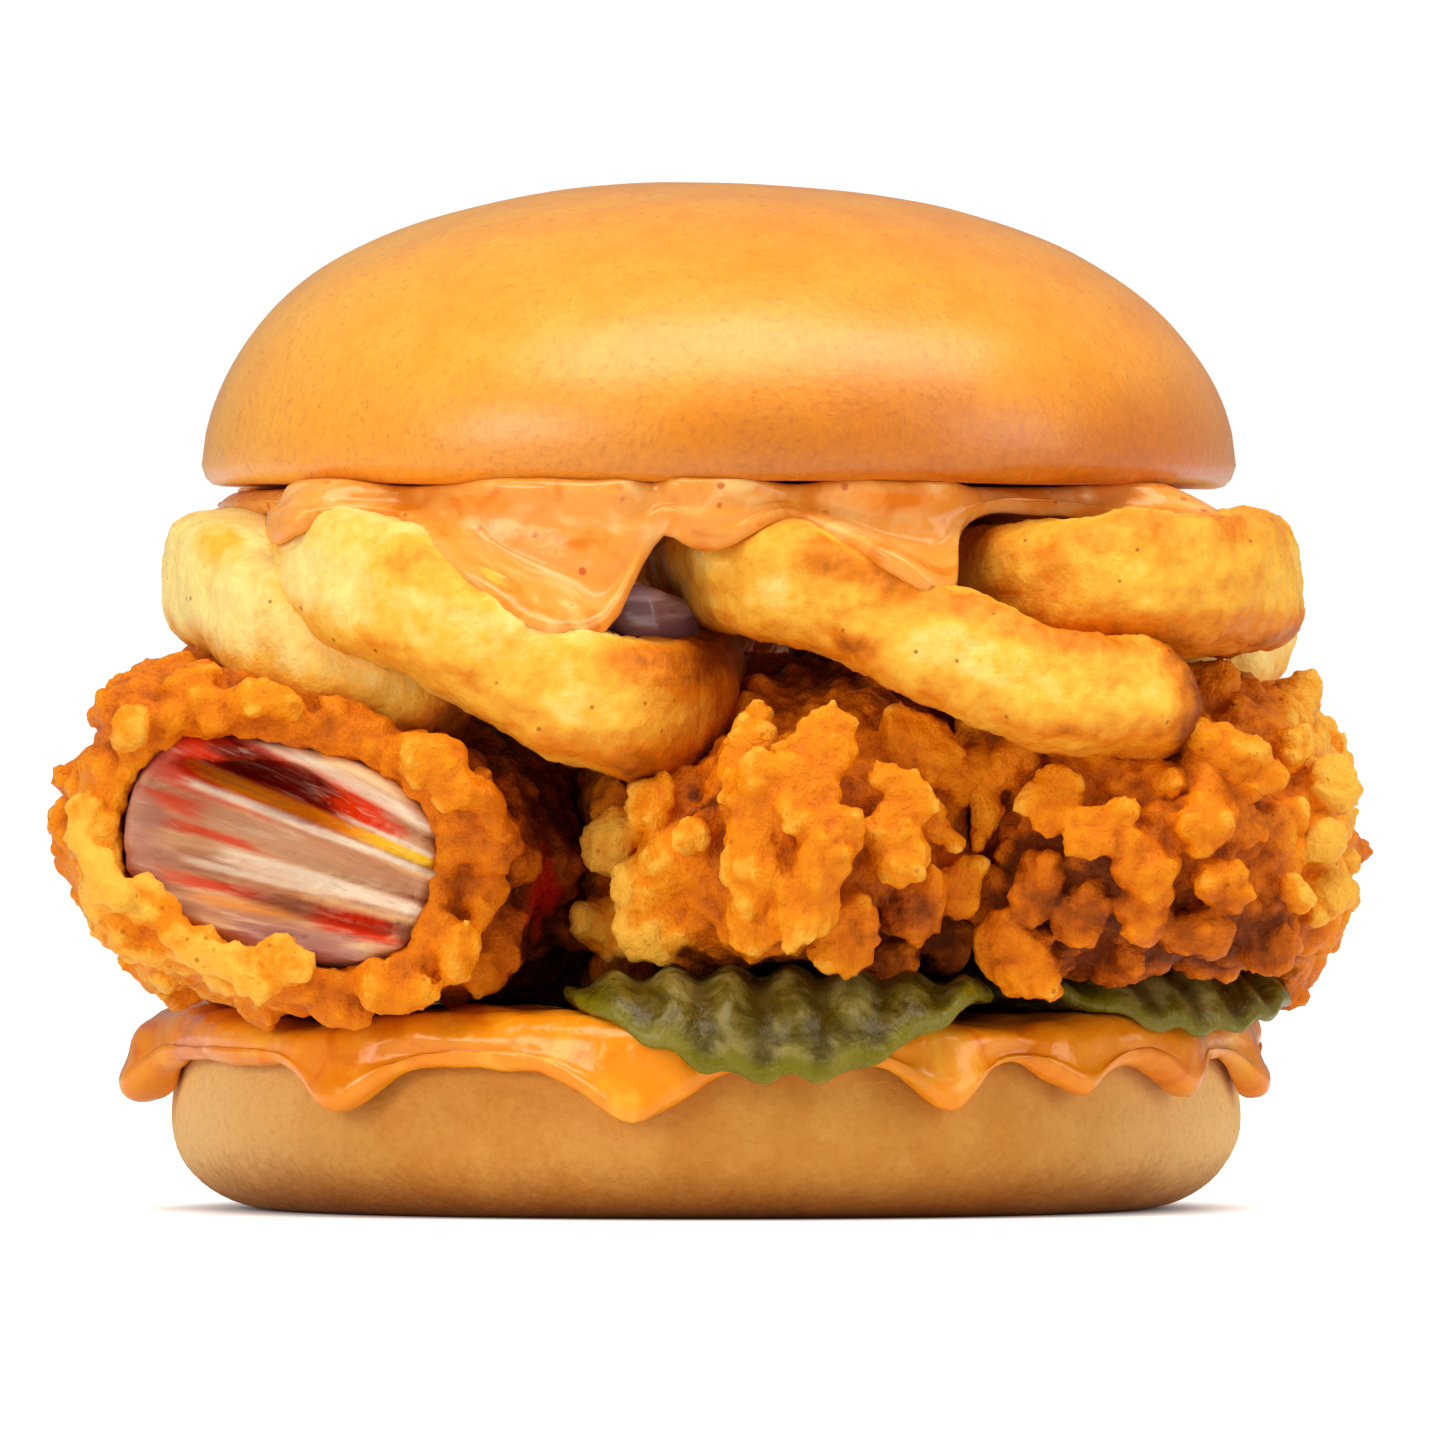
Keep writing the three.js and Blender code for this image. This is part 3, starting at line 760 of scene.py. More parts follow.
@dataclass(frozen=True)
class PickleFinish:
    """A brined cucumber slice: translucent olive flesh and a darker skin round its rim."""

    flesh: Colour = (0.12, 0.088, 0.004)
    pale: Colour = (0.3, 0.235, 0.06)
    deep: Colour = (0.045, 0.029, 0.0)
    skin: Colour = (0.19, 0.16, 0.002)

    def build(self) -> bpy.types.Material:
        """Makes the material.

        Returns:
            The material.
        """
        bench = Bench("pickle_finish")
        cloud = bench.noise(4, 4, 0.6, warp=0.6)
        colour = bench.mix(cloud.step(0.45, 0.68), self.flesh, self.pale)
        colour = bench.mix(cloud.step(0.5, 0.32), colour, self.deep)
        # Painted shade: the troughs of the crinkle waves are darkened, standing in for the shade in them.
        colour = bench.mix(bench.attribute("groove") * 0.65, colour, self.deep)
        colour = bench.mix(bench.attribute("rim") * 0.8, colour, self.skin)
        normal = bench.bump(bench.noise(1.1, 4, 0.6), 0.25, bench.bump(cloud, 0.4))
        rough = 0.2 + cloud * 0.16
        return bench.dressed(colour, rough, normal, glint=0.4, coat=(0.12, 0.12),
                             depth=(0.2, (2.0, 2.0, 0.7)))


@dataclass(frozen=True)
class CoatingFinish:
    """Fried coating: pale gold on its crests, deep orange between them and brown in its pits, which is partly
    painted shade in the hollows, and lighter and darker in placed patches that are mostly painted light and
    painted shade.
    """

    pit: Colour = (0.16, 0.022, 0.0)
    valley: Colour = (0.48, 0.085, 0.0)
    body: Colour = (0.78, 0.175, 0.0)
    gold: Colour = (0.9, 0.265, 0.001)
    tip: Colour = (0.97, 0.47, 0.045)
    sauce: Colour = (0.5, 0.008, 0.0)

    def build(self) -> bpy.types.Material:
        """Makes the material.

        Returns:
            The material.
        """
        bench = Bench("chicken_coating_finish")
        crag = bench.attribute("crag")
        tone = bench.noise(11, 3, 0.5)
        mottle = bench.noise(1.3, 4, 0.65)
        # The pale places lighten the coating: painted light on the lit rims of the left and right pieces, and
        # a paler cluster of coating on the middle piece.
        level = crag + (tone - 0.5) * 0.5 + (mottle - 0.5) * 0.55 + bench.attribute("pale") * 0.42
        level = level - bench.attribute("shade") * 0.4
        # The darkest stops stand partly for the coating's own colour and partly for painted shade in its
        # hollows and pits.
        stops = [(0.0, self.pit), (0.24, self.valley), (0.5, self.body), (0.76, self.gold), (1.0, self.tip)]
        colour = bench.ramp(level.clamped(), stops)
        colour = bench.mix(bench.attribute("red"), colour, self.sauce)
        specks = bench.cells(2.1).step(0.16, 0.1) * tone.step(0.5, 0.6)
        colour = bench.mix(specks * 0.6, colour, self.valley)
        normal = bench.bump(mottle, 0.6, bench.bump(bench.noise(0.55, 3, 0.6), 0.26))
        rough = 0.44 + (mottle - 0.5) * 0.4 + (tone - 0.5) * 0.2
        return bench.dressed(colour, rough, normal, glint=0.26)


class Tone(Enum):
    """The colours of what lies along the torn meat's strands."""

    WHITE = (0.86, 0.65, 0.45)
    CREAM = (0.82, 0.52, 0.24)
    BEIGE = (0.6, 0.29, 0.15)
    MAUVE = (0.4, 0.155, 0.11)
    SCARLET = (0.74, 0.028, 0.0)
    CRIMSON = (0.17, 0.001, 0.0)
    OIL = (0.95, 0.3, 0.0)
    AMBER = (0.95, 0.5, 0.01)


@dataclass(frozen=True)
class Streak:
    """A streak on the torn face: its angle in the fan, half its width, and where it runs along X."""

    tone: Tone
    angle: float
    half_width: float
    start: float
    end: float
    strength: float = 1.0


@dataclass(frozen=True)
class MeatFinish:
    """Torn cooked meat, whose strands fan out from low on the right, with hot sauce and oil on them, and
    painted shade in the valleys between the strands.
    """

    fan: tuple[float, float] = (12.4, 19.1)
    valley: Colour = (0.27, 0.022, 0.006)
    lean: Colour = (0.52, 0.21, 0.1)
    light: Colour = (0.74, 0.42, 0.2)
    streaks: tuple[Streak, ...] = (
        Streak(Tone.WHITE, 26.4, 0.9, -47, -20),
        Streak(Tone.CREAM, 28.6, 1.2, -40, -20),
        Streak(Tone.MAUVE, 29.0, 2.2, -60, -44),
        Streak(Tone.SCARLET, 23.9, 2.0, -51, -31),
        Streak(Tone.SCARLET, 22.4, 2.6, -56, -43),
        Streak(Tone.CRIMSON, 24.1, 1.5, -49, -37),
        Streak(Tone.OIL, 21.9, 0.6, -50, -33),
        Streak(Tone.AMBER, 22.0, 0.75, -34, -22),
        Streak(Tone.WHITE, 20.6, 0.4, -51, -28),
        Streak(Tone.WHITE, 22.9, 0.3, -36, -22, 0.9),
        Streak(Tone.BEIGE, 18.3, 1.3, -52, -22),
        Streak(Tone.SCARLET, 18.6, 0.8, -56, -50, 0.8),
        Streak(Tone.SCARLET, 16.9, 0.45, -55, -44, 0.85),
        Streak(Tone.WHITE, 15.5, 0.85, -47, -20),
        Streak(Tone.WHITE, 14.3, 0.3, -52, -38, 0.8),
        Streak(Tone.CREAM, 13.6, 0.5, -40, -20),
        Streak(Tone.SCARLET, 12.6, 0.5, -53, -44, 0.85),
        Streak(Tone.OIL, 11.4, 0.5, -50, -40, 0.6),
        Streak(Tone.SCARLET, 11.6, 1.5, -37.5, -30.5),
        Streak(Tone.MAUVE, 8.0, 2.4, -46, -34),
        Streak(Tone.MAUVE, 20.0, 14, -62, -53.5, 0.75),
    )

    def _streaked(self, bench: "Bench", colour: Any, angle: Field, x: Field, ragged: Field) -> Any:
        """Lays every streak over a colour.

        Args:
            bench: the material.
            colour: what lies under them.
            angle: degrees in the fan.
            x: millimetres along X.
            ragged: noise that frays their edges.

        Returns:
            The colour with its streaks.
        """
        for streak in self.streaks:
            half = streak.half_width
            fray = 0.3 * half + 0.16
            off = (angle - streak.angle).math("ABSOLUTE") + (ragged - 0.5) * (2.4 * fray)
            across = off.step(half + fray, half - fray)
            rise = (x + (ragged - 0.5) * 9).step(streak.start - 1.5, streak.start + 2.5)
            fall = (x + (ragged - 0.5) * 9).step(streak.end + 2.5, streak.end - 1.5)
            colour = bench.mix(across * rise * fall * streak.strength, colour, streak.tone.value)
        return colour

    def build(self) -> bpy.types.Material:
        """Makes the material.

        Returns:
            The material.
        """
        bench = Bench("chicken_meat_finish")
        x, y, z = bench.place("X"), bench.place("Y"), bench.place("Z")
        aside = self.fan[0] - x
        angle = (z - self.fan[1]).math("ARCTAN2", aside) * (180 / math.pi)
        parts = {"X": angle * MM, "Y": y * (0.2 * MM), "Z": aside * (0.12 * MM)}
        fan = bench.node("ShaderNodeCombineXYZ", {}, parts).outputs[0]
        fibres = bench.noise(2.4, 3, 0.55, vector=fan)
        threads = bench.noise(0.8, 3, 0.6, vector=fan)
        colour = bench.mix(fibres.step(0.36, 0.62), self.lean, self.light)
        # The valleys between strands are darkened dark red: partly red sauce lying in them and partly painted
        # shade.
        valley = bench.attribute("valley")
        colour = bench.mix(valley * 0.7, colour, self.valley)
        colour = self._streaked(bench, colour, angle, x, bench.noise(1.1, 4, 0.65, vector=fan))
        colour = bench.mix(threads.step(0.56, 0.66) * 0.22, colour, Tone.WHITE.value)
        colour = bench.mix(threads.step(0.45, 0.36) * 0.25, colour, Tone.MAUVE.value)
        colour = bench.mix(valley * 0.22, colour, self.valley)
        normal = bench.bump(fibres, 0.35, bench.bump(threads, 0.2))
        rough = 0.36 + (fibres - 0.5) * 0.3
        return bench.dressed(colour, rough, normal, glint=0.35, coat=(0.06, 0.15),
                             depth=(0.08, (2.0, 0.8, 0.5)))


@dataclass(frozen=True)
class PotatoFinish:
    """Fried potato: a pale yellow grainy skin that turns golden and then brown at its edges and ends, and
    darker as painted shade on its undersides and at shaded ends.
    """

    pale: Colour = (0.98, 0.74, 0.24)
    yellow: Colour = (0.93, 0.48, 0.04)
    orange: Colour = (0.76, 0.2, 0.002)
    brown: Colour = (0.27, 0.045, 0.0)

    def build(self) -> bpy.types.Material:
        """Makes the material.

        Returns:
            The material.
        """
        bench = Bench("potato_finish")
        grain = bench.noise(1.2, 4, 0.65)
        cloud = bench.noise(6, 3, 0.55)
        fried = bench.attribute("fried") + (cloud - 0.5) * 0.6 + (grain - 0.5) * 0.34
        stops = [(0.0, self.pale), (0.34, self.yellow), (0.68, self.orange), (1.0, self.brown)]
        colour = bench.ramp(fried.clamped(), stops)
        colour = bench.mix(bench.cells(3.2).step(0.1, 0.05) * 0.7, colour, self.brown)
        rough = 0.46 + (grain - 0.5) * 0.4
        return bench.dressed(colour, rough, bench.bump(grain, 0.4), glint=0.4)


@dataclass(frozen=True)
class OnionFinish:
    """A moist strip of red onion, grey-purple with faint long veins."""

    purple: Colour = (0.26, 0.13, 0.15)
    pale: Colour = (0.55, 0.4, 0.42)

    def build(self) -> bpy.types.Material:
        """Makes the material.

        Returns:
            The material.
        """
        bench = Bench("onion_finish")
        veins = bench.noise(1.6, 3, 0.5, vector=bench.stretched((0.2, 0.2, 1.0)))
        colour = bench.mix(veins.step(0.42, 0.68), self.purple, self.pale)
        return bench.finished(
            {"Base Color": colour, "Roughness": 0.16 + veins * 0.1, "Normal": bench.bump(veins, 0.15)},
            {"Subsurface Weight": 0.4, "Subsurface Radius": (0.002, 0.001, 0.001), "Subsurface Scale": 1.0,
             "Coat Weight": 0.5, "Coat Roughness": 0.08})


class Slot(Enum):
    """The material slots that the record names."""

    CRUST = "bun_crust"
    HEEL = "bun_heel"
    LOWER_SAUCE = "lower_sauce"
    UPPER_SAUCE = "upper_sauce"
    PICKLE = "pickle"
    COATING = "chicken_coating"
    MEAT = "chicken_meat"
    POTATO = "potato"
    ONION = "onion"


def placed(obj: bpy.types.Object, node: str, finish: bpy.types.Material) -> None:
    """Dresses a piece and sets it in the frame in its node's stead.

    Args:
        obj: the piece.
        node: the CAD node that it stands for.
        finish: its material.
    """
    obj.data.materials.clear()
    obj.data.materials.append(finish)
    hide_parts(node)
    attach(obj, BODY)
    log.info("%s: %d faces, for node %s", obj.name, len(obj.data.polygons), node)


# Bun

@dataclass
class Bun:
    """The heel and the crown."""

    heel_radius: float = 53.4
    heel_height: float = 17.0
    heel_base_radius: float = 43.0
    heel_corner_height: float = 9.0
    crown_radius: float = 52.2
    crown_bottom: float = 72.0
    burger_height: float = 102.6
    crown_offset: float = 1.4
    crown_lean: float = -1.6
    crown_fullness: float = 2.2
    sides: int = 220

    def heel_radius_at(self, height: float) -> float:
        """Gives the heel's radius, round at its foot and nearly straight above it.

        Args:
            height: millimetres above the floor.

        Returns:
            The radius.
        """
        if height >= self.heel_corner_height:
            rise = (height - self.heel_corner_height) / (self.heel_height - self.heel_corner_height)
            return self.heel_radius - 1.4 * rise * rise
        fall = (self.heel_corner_height - height) / self.heel_corner_height
        corner = self.heel_radius - self.heel_base_radius
        return self.heel_base_radius + corner * math.sqrt(1 - fall * fall)

    def _heel_profile(self, angle: float) -> Profile:
        """Gives the heel's profile.

        Args:
            angle: the angle round the bun.

        Returns:
            Its points, from the middle of the base to the middle of the top.
        """
        uneven = 0.35 * math.sin(3 * angle + 0.8) + 0.25 * math.sin(5 * angle)
        foot = [self.heel_corner_height * (1 - math.cos(0.5 * math.pi * k / 14)) for k in range(14)]
        wall = [self.heel_corner_height + 0.66 * k for k in range(11)]
        side = [(self.heel_radius_at(z) + uneven * z / self.heel_height, z) for z in foot + wall]
        lid = [(self.heel_radius - 2.2, self.heel_height - 0.25), (self.heel_radius - 3.2, self.heel_height)]
        floor = [(self.heel_base_radius * k / 8, 0.0) for k in range(8)]
        top = [((self.heel_radius - 3.2) * k / 8, self.heel_height) for k in range(7, -1, -1)]
        return floor + side + lid + top

    def _crown_profile(self, _angle: float) -> Profile:
        """Gives the crown's profile, the same all round.

        Args:
            _angle: the angle round the bun, which has no effect.

        Returns:
            Its points, from the middle of the underside to the top.
        """
        tall = self.burger_height - self.crown_bottom
        under = [((self.crown_radius - 2.2) * k / 10, self.crown_bottom) for k in range(11)]
        steps = ((1.3, 0.22), (0.6, 0.9), (0.15, 2.2))
        lip = [(self.crown_radius - inwards, self.crown_bottom + up) for inwards, up in steps]
        shares = [math.sin(0.5 * math.pi * k / 44) for k in range(5, 44)]
        power = self.crown_fullness
        dome = [(self.crown_radius * (1 - s**power) ** (1 / power), self.crown_bottom + s * tall)
                for s in shares]
        return under + lip + dome + [(0.0, self.burger_height)]

    def build_heel(self) -> bpy.types.Object:
        """Makes the heel with a faintly dented side.

        Returns:
            The heel.
        """
        heel = object_from(turned(self._heel_profile, self.sides), "bun_heel_crumb")
        surface = Surface(heel)
        points = surface.points
        off_base = smoothstep(0.2, 3.0, points[:, 2])
        surface.push((0.35 * Noise(14, 3).smooth(points) + 0.12 * Noise(4, 5).smooth(points)) * off_base)
        surface.store()
        return heel

    def build_crown(self) -> bpy.types.Object:
        """Makes the crown with its lean, broad lumps and faint wrinkles.

        Returns:
            The crown.
        """
        crown = object_from(turned(self._crown_profile, self.sides), "bun_crown_crust")
        surface = Surface(crown)
        x, y, z = surface.points.T
        rise = (z - self.crown_bottom) / (self.burger_height - self.crown_bottom)
        angle = np.arctan2(x, -y)
        uneven = 1 + 0.007 * np.sin(2 * angle + 1) + 0.005 * np.sin(3 * angle)
        x = x * uneven + self.crown_offset + self.crown_lean * rise * rise
        surface.points = np.stack([x, y * uneven, z], axis=1)
        points = surface.points
        surface.push(0.3 * Noise(26, 7).smooth(points) + 0.1 * Noise(8, 9).smooth(points))
        surface.store()
        return crown

    def dress(self) -> None:
        """Builds both halves and sets them in the frame."""
        placed(self.build_heel(), "bun_heel", HeelFinish().build())
        placed(self.build_crown(), "bun_crown", CrustFinish().build())


# Sauces

@dataclass(frozen=True)
class Drip:
    """A place where sauce hangs lower: its angle, its drop, its reach to each side and its swell."""

    angle: float
    drop: float
    left: float
    right: float
    swell: float

    @staticmethod
    def front(x: float, rim: float, drop: float, left: float, right: float, swell: float) -> "Drip":
        """Makes the drip that the front view shows at x."""
        return Drip(math.asin(max(-1.0, min(1.0, x / rim))), drop, left, right, swell)


def rear_drips(count: int, start: float, end: float, shortest: float, longest: float,
               seed: int) -> list[Drip]:
    """Scatters drips round the sides and back.

    Args:
        count: how many there are.
        start: the first angle.
        end: the last angle.
        shortest: the least drop.
        longest: the most drop.
        seed: of the random draw.

    Returns:
        The drips, uneven in place and size.
    """
    draw = np.random.default_rng(seed)
    drips = []
    for i in range(count):
        share = (i + 0.3 + 0.4 * draw.random()) / count
        reach = 3.5 + 3 * draw.random()
        drop = shortest + (longest - shortest) * draw.random()
        drips.append(Drip(start + share * (end - start), drop, reach, reach, 0.4 + 0.8 * draw.random()))
    return drips


def hang(angle: float, rim: float, drips: Sequence[Drip], skirt: float) -> tuple[float, float, float]:
    """Works out how the sauce hangs at an angle.

    Args:
        angle: the angle round the bun.
        rim: the radius that it hangs from.
        drips: its drips.
        skirt: how far it hangs between them.

    Returns:
        Its drop below the rim, its swell and its share of a drip.
    """
    drop = skirt * (1 + 0.15 * math.sin(7 * angle + 1) + 0.12 * math.sin(11 * angle))
    swell = 0.0
    spread = 0.0
    for drip in drips:
        turn = math.atan2(math.sin(angle - drip.angle), math.cos(angle - drip.angle)) * rim
        share = math.exp(-((turn / (drip.left if turn < 0 else drip.right)) ** 2))
        drop = max(drop, skirt + (drip.drop - skirt) * share)
        swell = max(swell, drip.swell * share)
        spread = max(spread, min(1.0, 1.6 * share))
    return drop, swell, spread


@dataclass
class LowerSauce:
    """The orange sauce that lies on the heel and drips over its edge."""

    bun: Bun
    thickness: float = 2.2
    clearance: float = 0.35
    skirt: float = 1.7
    sides: int = 300

    def __post_init__(self) -> None:
        """Places the drips."""
        self.rim = self.bun.heel_radius + 1
        self.drips = [
            Drip.front(-53.9, self.rim, 5.6, 9, 4.5, 2.4),
            Drip.front(-35, self.rim, 6.2, 6, 5.5, 1.1),
            Drip.front(-7, self.rim, 7.4, 6, 6, 1.0),
            Drip.front(23.5, self.rim, 6.0, 4.6, 4.2, 0.8),
            Drip.front(36.5, self.rim, 4.8, 4.4, 3.8, 0.5),
            Drip.front(46.3, self.rim, 5.0, 3.6, 3.6, 0.5),
            Drip.front(53.3, self.rim, 5.4, 4, 5, 1.2),
            *rear_drips(11, 0.62 * math.pi, 1.44 * math.pi, 4, 8, 11),
        ]

    def _profile(self, angle: float) -> Profile:
        """Gives the sauce's profile.

        Args:
            angle: the angle round the bun.

        Returns:
            Its points, from the middle of the underside to the middle of the top.
        """
        top_of_heel = self.bun.heel_height
        drop, swell, _ = hang(angle, self.rim, self.drips, self.skirt)
        tip = top_of_heel - drop
        wave = 0.5 * math.sin(4 * angle + 2) + 0.4 * math.sin(9 * angle)
        top = top_of_heel + 2.9 + wave
        thickness = self.thickness + swell
        radius = self.bun.heel_radius

        def inner(height: float) -> float:
            """Gives the radius at which sauce clears the heel."""
            return self.bun.heel_radius_at(height) + self.clearance

        return rounded([
            (0.0, top_of_heel + self.clearance),
            (radius - 20, top_of_heel + self.clearance),
            (radius - 3.4, top_of_heel + self.clearance),
            (inner(top_of_heel - 2), top_of_heel - 1),
            (inner(tip) + 0.1, tip + 0.7),
            (inner(tip) + 0.3 * thickness, tip - 0.3),
            (inner(tip) + 0.95 * thickness, tip - 0.1),
            (inner(tip) + thickness * 1.12, tip + 1.4),
            (inner(tip) + thickness * 0.9, tip + 0.55 * drop),
            (radius + 0.8 * thickness, top_of_heel + 1),
            (radius + 0.2 * thickness, top - 0.2),
            (radius - 2.5, top + 0.2),
            (radius - 14, top + 0.4),
            (radius - 30, top_of_heel + 2.6),
            (0.0, top_of_heel + 2.6),
        ], 2)

    def dress(self) -> None:
        """Builds the sauce and sets it in the frame."""
        sauce = object_from(turned(self._profile, self.sides), "lower_sauce_pool")
        surface = Surface(sauce)
        points = surface.points
        surface.push(0.75 * Noise(9, 41).smooth(points) + 0.4 * Noise(4, 43).smooth(points))
        surface.store()
        finish = SauceFinish("lower_sauce_finish", body=(0.88, 0.27, 0.004), pale=(0.93, 0.38, 0.02),
                             deep=(0.78, 0.18, 0.001), fleck=(0.7, 0.15, 0.01), flecks=0.2)
        placed(sauce, "sauce_lower", finish.build())


@dataclass
class UpperSauce:
    """The peach sauce under the crown, with tongues that lie over the fries."""

    bun: Bun
    fries: list[bpy.types.Object]
    thickness: float = 1.8
    clearance: float = 0.35
    skirt: float = 2.3
    rim: float = 56.0
    widest: float = 57.5
    look_from: float = 90.0
    sides: int = 300
    levels: int = 7

    def __post_init__(self) -> None:
        """Places the drips and finds how far the fries reach."""
        self.drips = [
            Drip.front(-41.5, self.rim, 5.6, 6, 7, 0.2),
            Drip.front(-11.6, self.rim, 14.8, 17, 5.0, 1.1),
            Drip.front(0, self.rim, 6.2, 5, 7, 1.6),
            Drip.front(23, self.rim, 11.2, 10, 5.5, 0.8),
            Drip.front(47.5, self.rim, 7.8, 7, 3.4, 1.4),
            *rear_drips(7, 0.66 * math.pi, 1.4 * math.pi, 5, 11, 23),
        ]
        self.trees = [search_tree(fry) for fry in self.fries]
        self.top = self.bun.crown_bottom - self.clearance
        self.edge = self.bun.crown_radius - 1.2
        reaches = np.array([self._reaches(2 * math.pi * side / self.sides) for side in range(self.sides)])
        window = np.array([1, 2, 3, 4, 5, 4, 3, 2, 1]) / 25
        wrapped = np.concatenate([reaches[-4:], reaches, reaches[:4]])
        self.reach = np.stack([np.convolve(column, window, "valid") for column in wrapped.T], axis=1)

    def _reaches(self, angle: float) -> list[float]:
        """Looks in from outside at each level.

        Args:
            angle: the angle round the bun.

        Returns:
            How far out the fries come at each level.
        """
        drop, _, _ = hang(angle, self.rim, self.drips, self.skirt)
        outside = Vector((math.sin(angle), -math.cos(angle), 0.0))
        found = []
        for level in range(self.levels):
            height = self.top - 1.5 - level / (self.levels - 1) * (drop - 1.5)
            start = (outside * self.look_from + Vector((0, 0, height))) * MM
            reach = self.edge - 3
            for tree in self.trees:
                _, _, _, distance = tree.ray_cast(start, -outside)
                if distance is not None:
                    reach = max(reach, self.look_from - distance / MM)
            found.append(min(reach, self.widest))
        return found

    def _profile(self, angle: float) -> Profile:
        """Gives the sauce's profile.

        Args:
            angle: the angle round the bun.

        Returns:
            Its points, from the middle of the underside to the middle of the top.
        """
        side = round(angle * self.sides / (2 * math.pi)) % self.sides
        drop, swell, spread = hang(angle, self.rim, self.drips, self.skirt)
        bare = self.edge - 4.0
        reach = bare + spread * (self.reach[side] - bare)
        tip = self.top - drop
        thickness = self.thickness + swell
        low, high = reach[-1], reach[1]
        last = self.levels - 1
        outer = [(reach[k] + thickness * (1.05 - 0.2 * abs(2 * k / last - 1)),
                  self.top - 1.2 - k / last * (drop - 2.4)) for k in range(last, 0, -1)]
        shoulder = max(self.edge, reach[0] * 0.35 + self.edge * 0.65) + 0.3 - 4 * (1 - spread)
        return rounded([
            (0.0, self.top - 4.8),
            (self.edge - 20, self.top - 4.8),
            (min(self.edge - 2.5, high - 2), self.top - 0.3 * drop - 1.6),
            (low - 0.8, tip + 1.6),
            (low - 0.2, tip + 0.1),
            (low + 0.6 * thickness, tip - 0.4),
            *outer,
            (shoulder + 1.1 * spread, self.top + 1.3 * spread),
            (self.edge - 6, self.top),
            (self.edge - 9, self.top),
            (0.0, self.top),
        ], 2)

    def dress(self) -> None:
        """Builds the sauce and sets it in the frame."""
        sauce = object_from(turned(self._profile, self.sides), "upper_sauce_drape")
        surface = Surface(sauce)
        points = surface.points
        skirt = smoothstep(self.edge - 6, self.edge, np.hypot(points[:, 0], points[:, 1]))
        surface.push((0.45 * Noise(7, 51).smooth(points) + 0.2 * Noise(3, 53).smooth(points)) * skirt)
        surface.relax(2)
        surface.store()
        finish = SauceFinish("upper_sauce_finish", body=(0.87, 0.33, 0.045), pale=(0.94, 0.5, 0.15),
                             deep=(0.76, 0.22, 0.01), fleck=(0.6, 0.06, 0.01), flecks=0.8)
        placed(sauce, "sauce_upper", finish.build())


# Pickle chips

@dataclass
class PickleChip:
    """A round crinkle-cut slice that droops on one side."""

    node: str
    radius: float
    centre: tuple[float, float, float]
    facing: float
    droop: float
    seed: int
    bend: float = 4.0
    half: float = 2.7
    wave: float = 5.8
    wave_depth: float = 0.62
    rim_power: float = 0.45

    def build(self) -> bpy.types.Object:
        """Makes the slice from a flattened ball with a blunt rim, waves it and bends it.

        Returns:
            The slice.
        """
        shape = bmesh.new()
        bmesh.ops.create_uvsphere(shape, u_segments=190, v_segments=64, radius=1)
        chip = object_from(shape, self.node + "_chip")
        surface = Surface(chip)
        ball = surface.points.copy()
        spread = np.sqrt(np.clip(1 - np.abs(ball[:, 2]) ** 1.15, 0, 1))
        turn = np.arctan2(ball[:, 1], ball[:, 0])
        ragged = 1 + 0.014 * np.sin(5 * turn + self.seed) + 0.01 * np.sin(9 * turn)
        x = self.radius * spread * np.cos(turn) * ragged
        y = self.radius * spread * np.sin(turn) * ragged
        z = self.half * np.sign(ball[:, 2]) * np.abs(ball[:, 2]) ** self.rim_power
        crest = np.sin(2 * math.pi * x / self.wave)
        fading = 0.75 + 0.35 * Noise(9, self.seed + 3).smooth(np.stack([x, y, z], axis=1))
        z = z * (0.92 + 0.08 * crest) + self.wave_depth * crest * fading
        out = np.maximum(0, -y - self.bend)
        z = z - self.droop * (out / (self.radius - self.bend)) ** 2
        y = y + 0.35 * out**2 / self.radius
        place = Matrix.Rotation(self.facing, 3, "Z")
        points = np.stack([x, y, z], axis=1)
        points[:, 2] += 0.5 * Noise(14, self.seed).smooth(points)
        surface.points = points @ np.array(place).T + np.array(self.centre)
        dents = 0.16 * Noise(2.6, self.seed + 1).smooth(points)
        surface.push(dents + 0.1 * Noise(1.2, self.seed + 2).smooth(points))
        surface.mark("rim", smoothstep(0.93, 1.0, spread))
        # Marks the troughs of the crinkle waves on each face, for their painted shade.
        surface.mark("groove", smoothstep(0.1, -0.9, crest * np.sign(ball[:, 2])))
        surface.store()
        return chip

    def dress(self, finish: bpy.types.Material) -> None:
        """Builds the slice and sets it in the frame."""
        placed(self.build(), self.node, finish)


# Curled fries and onion

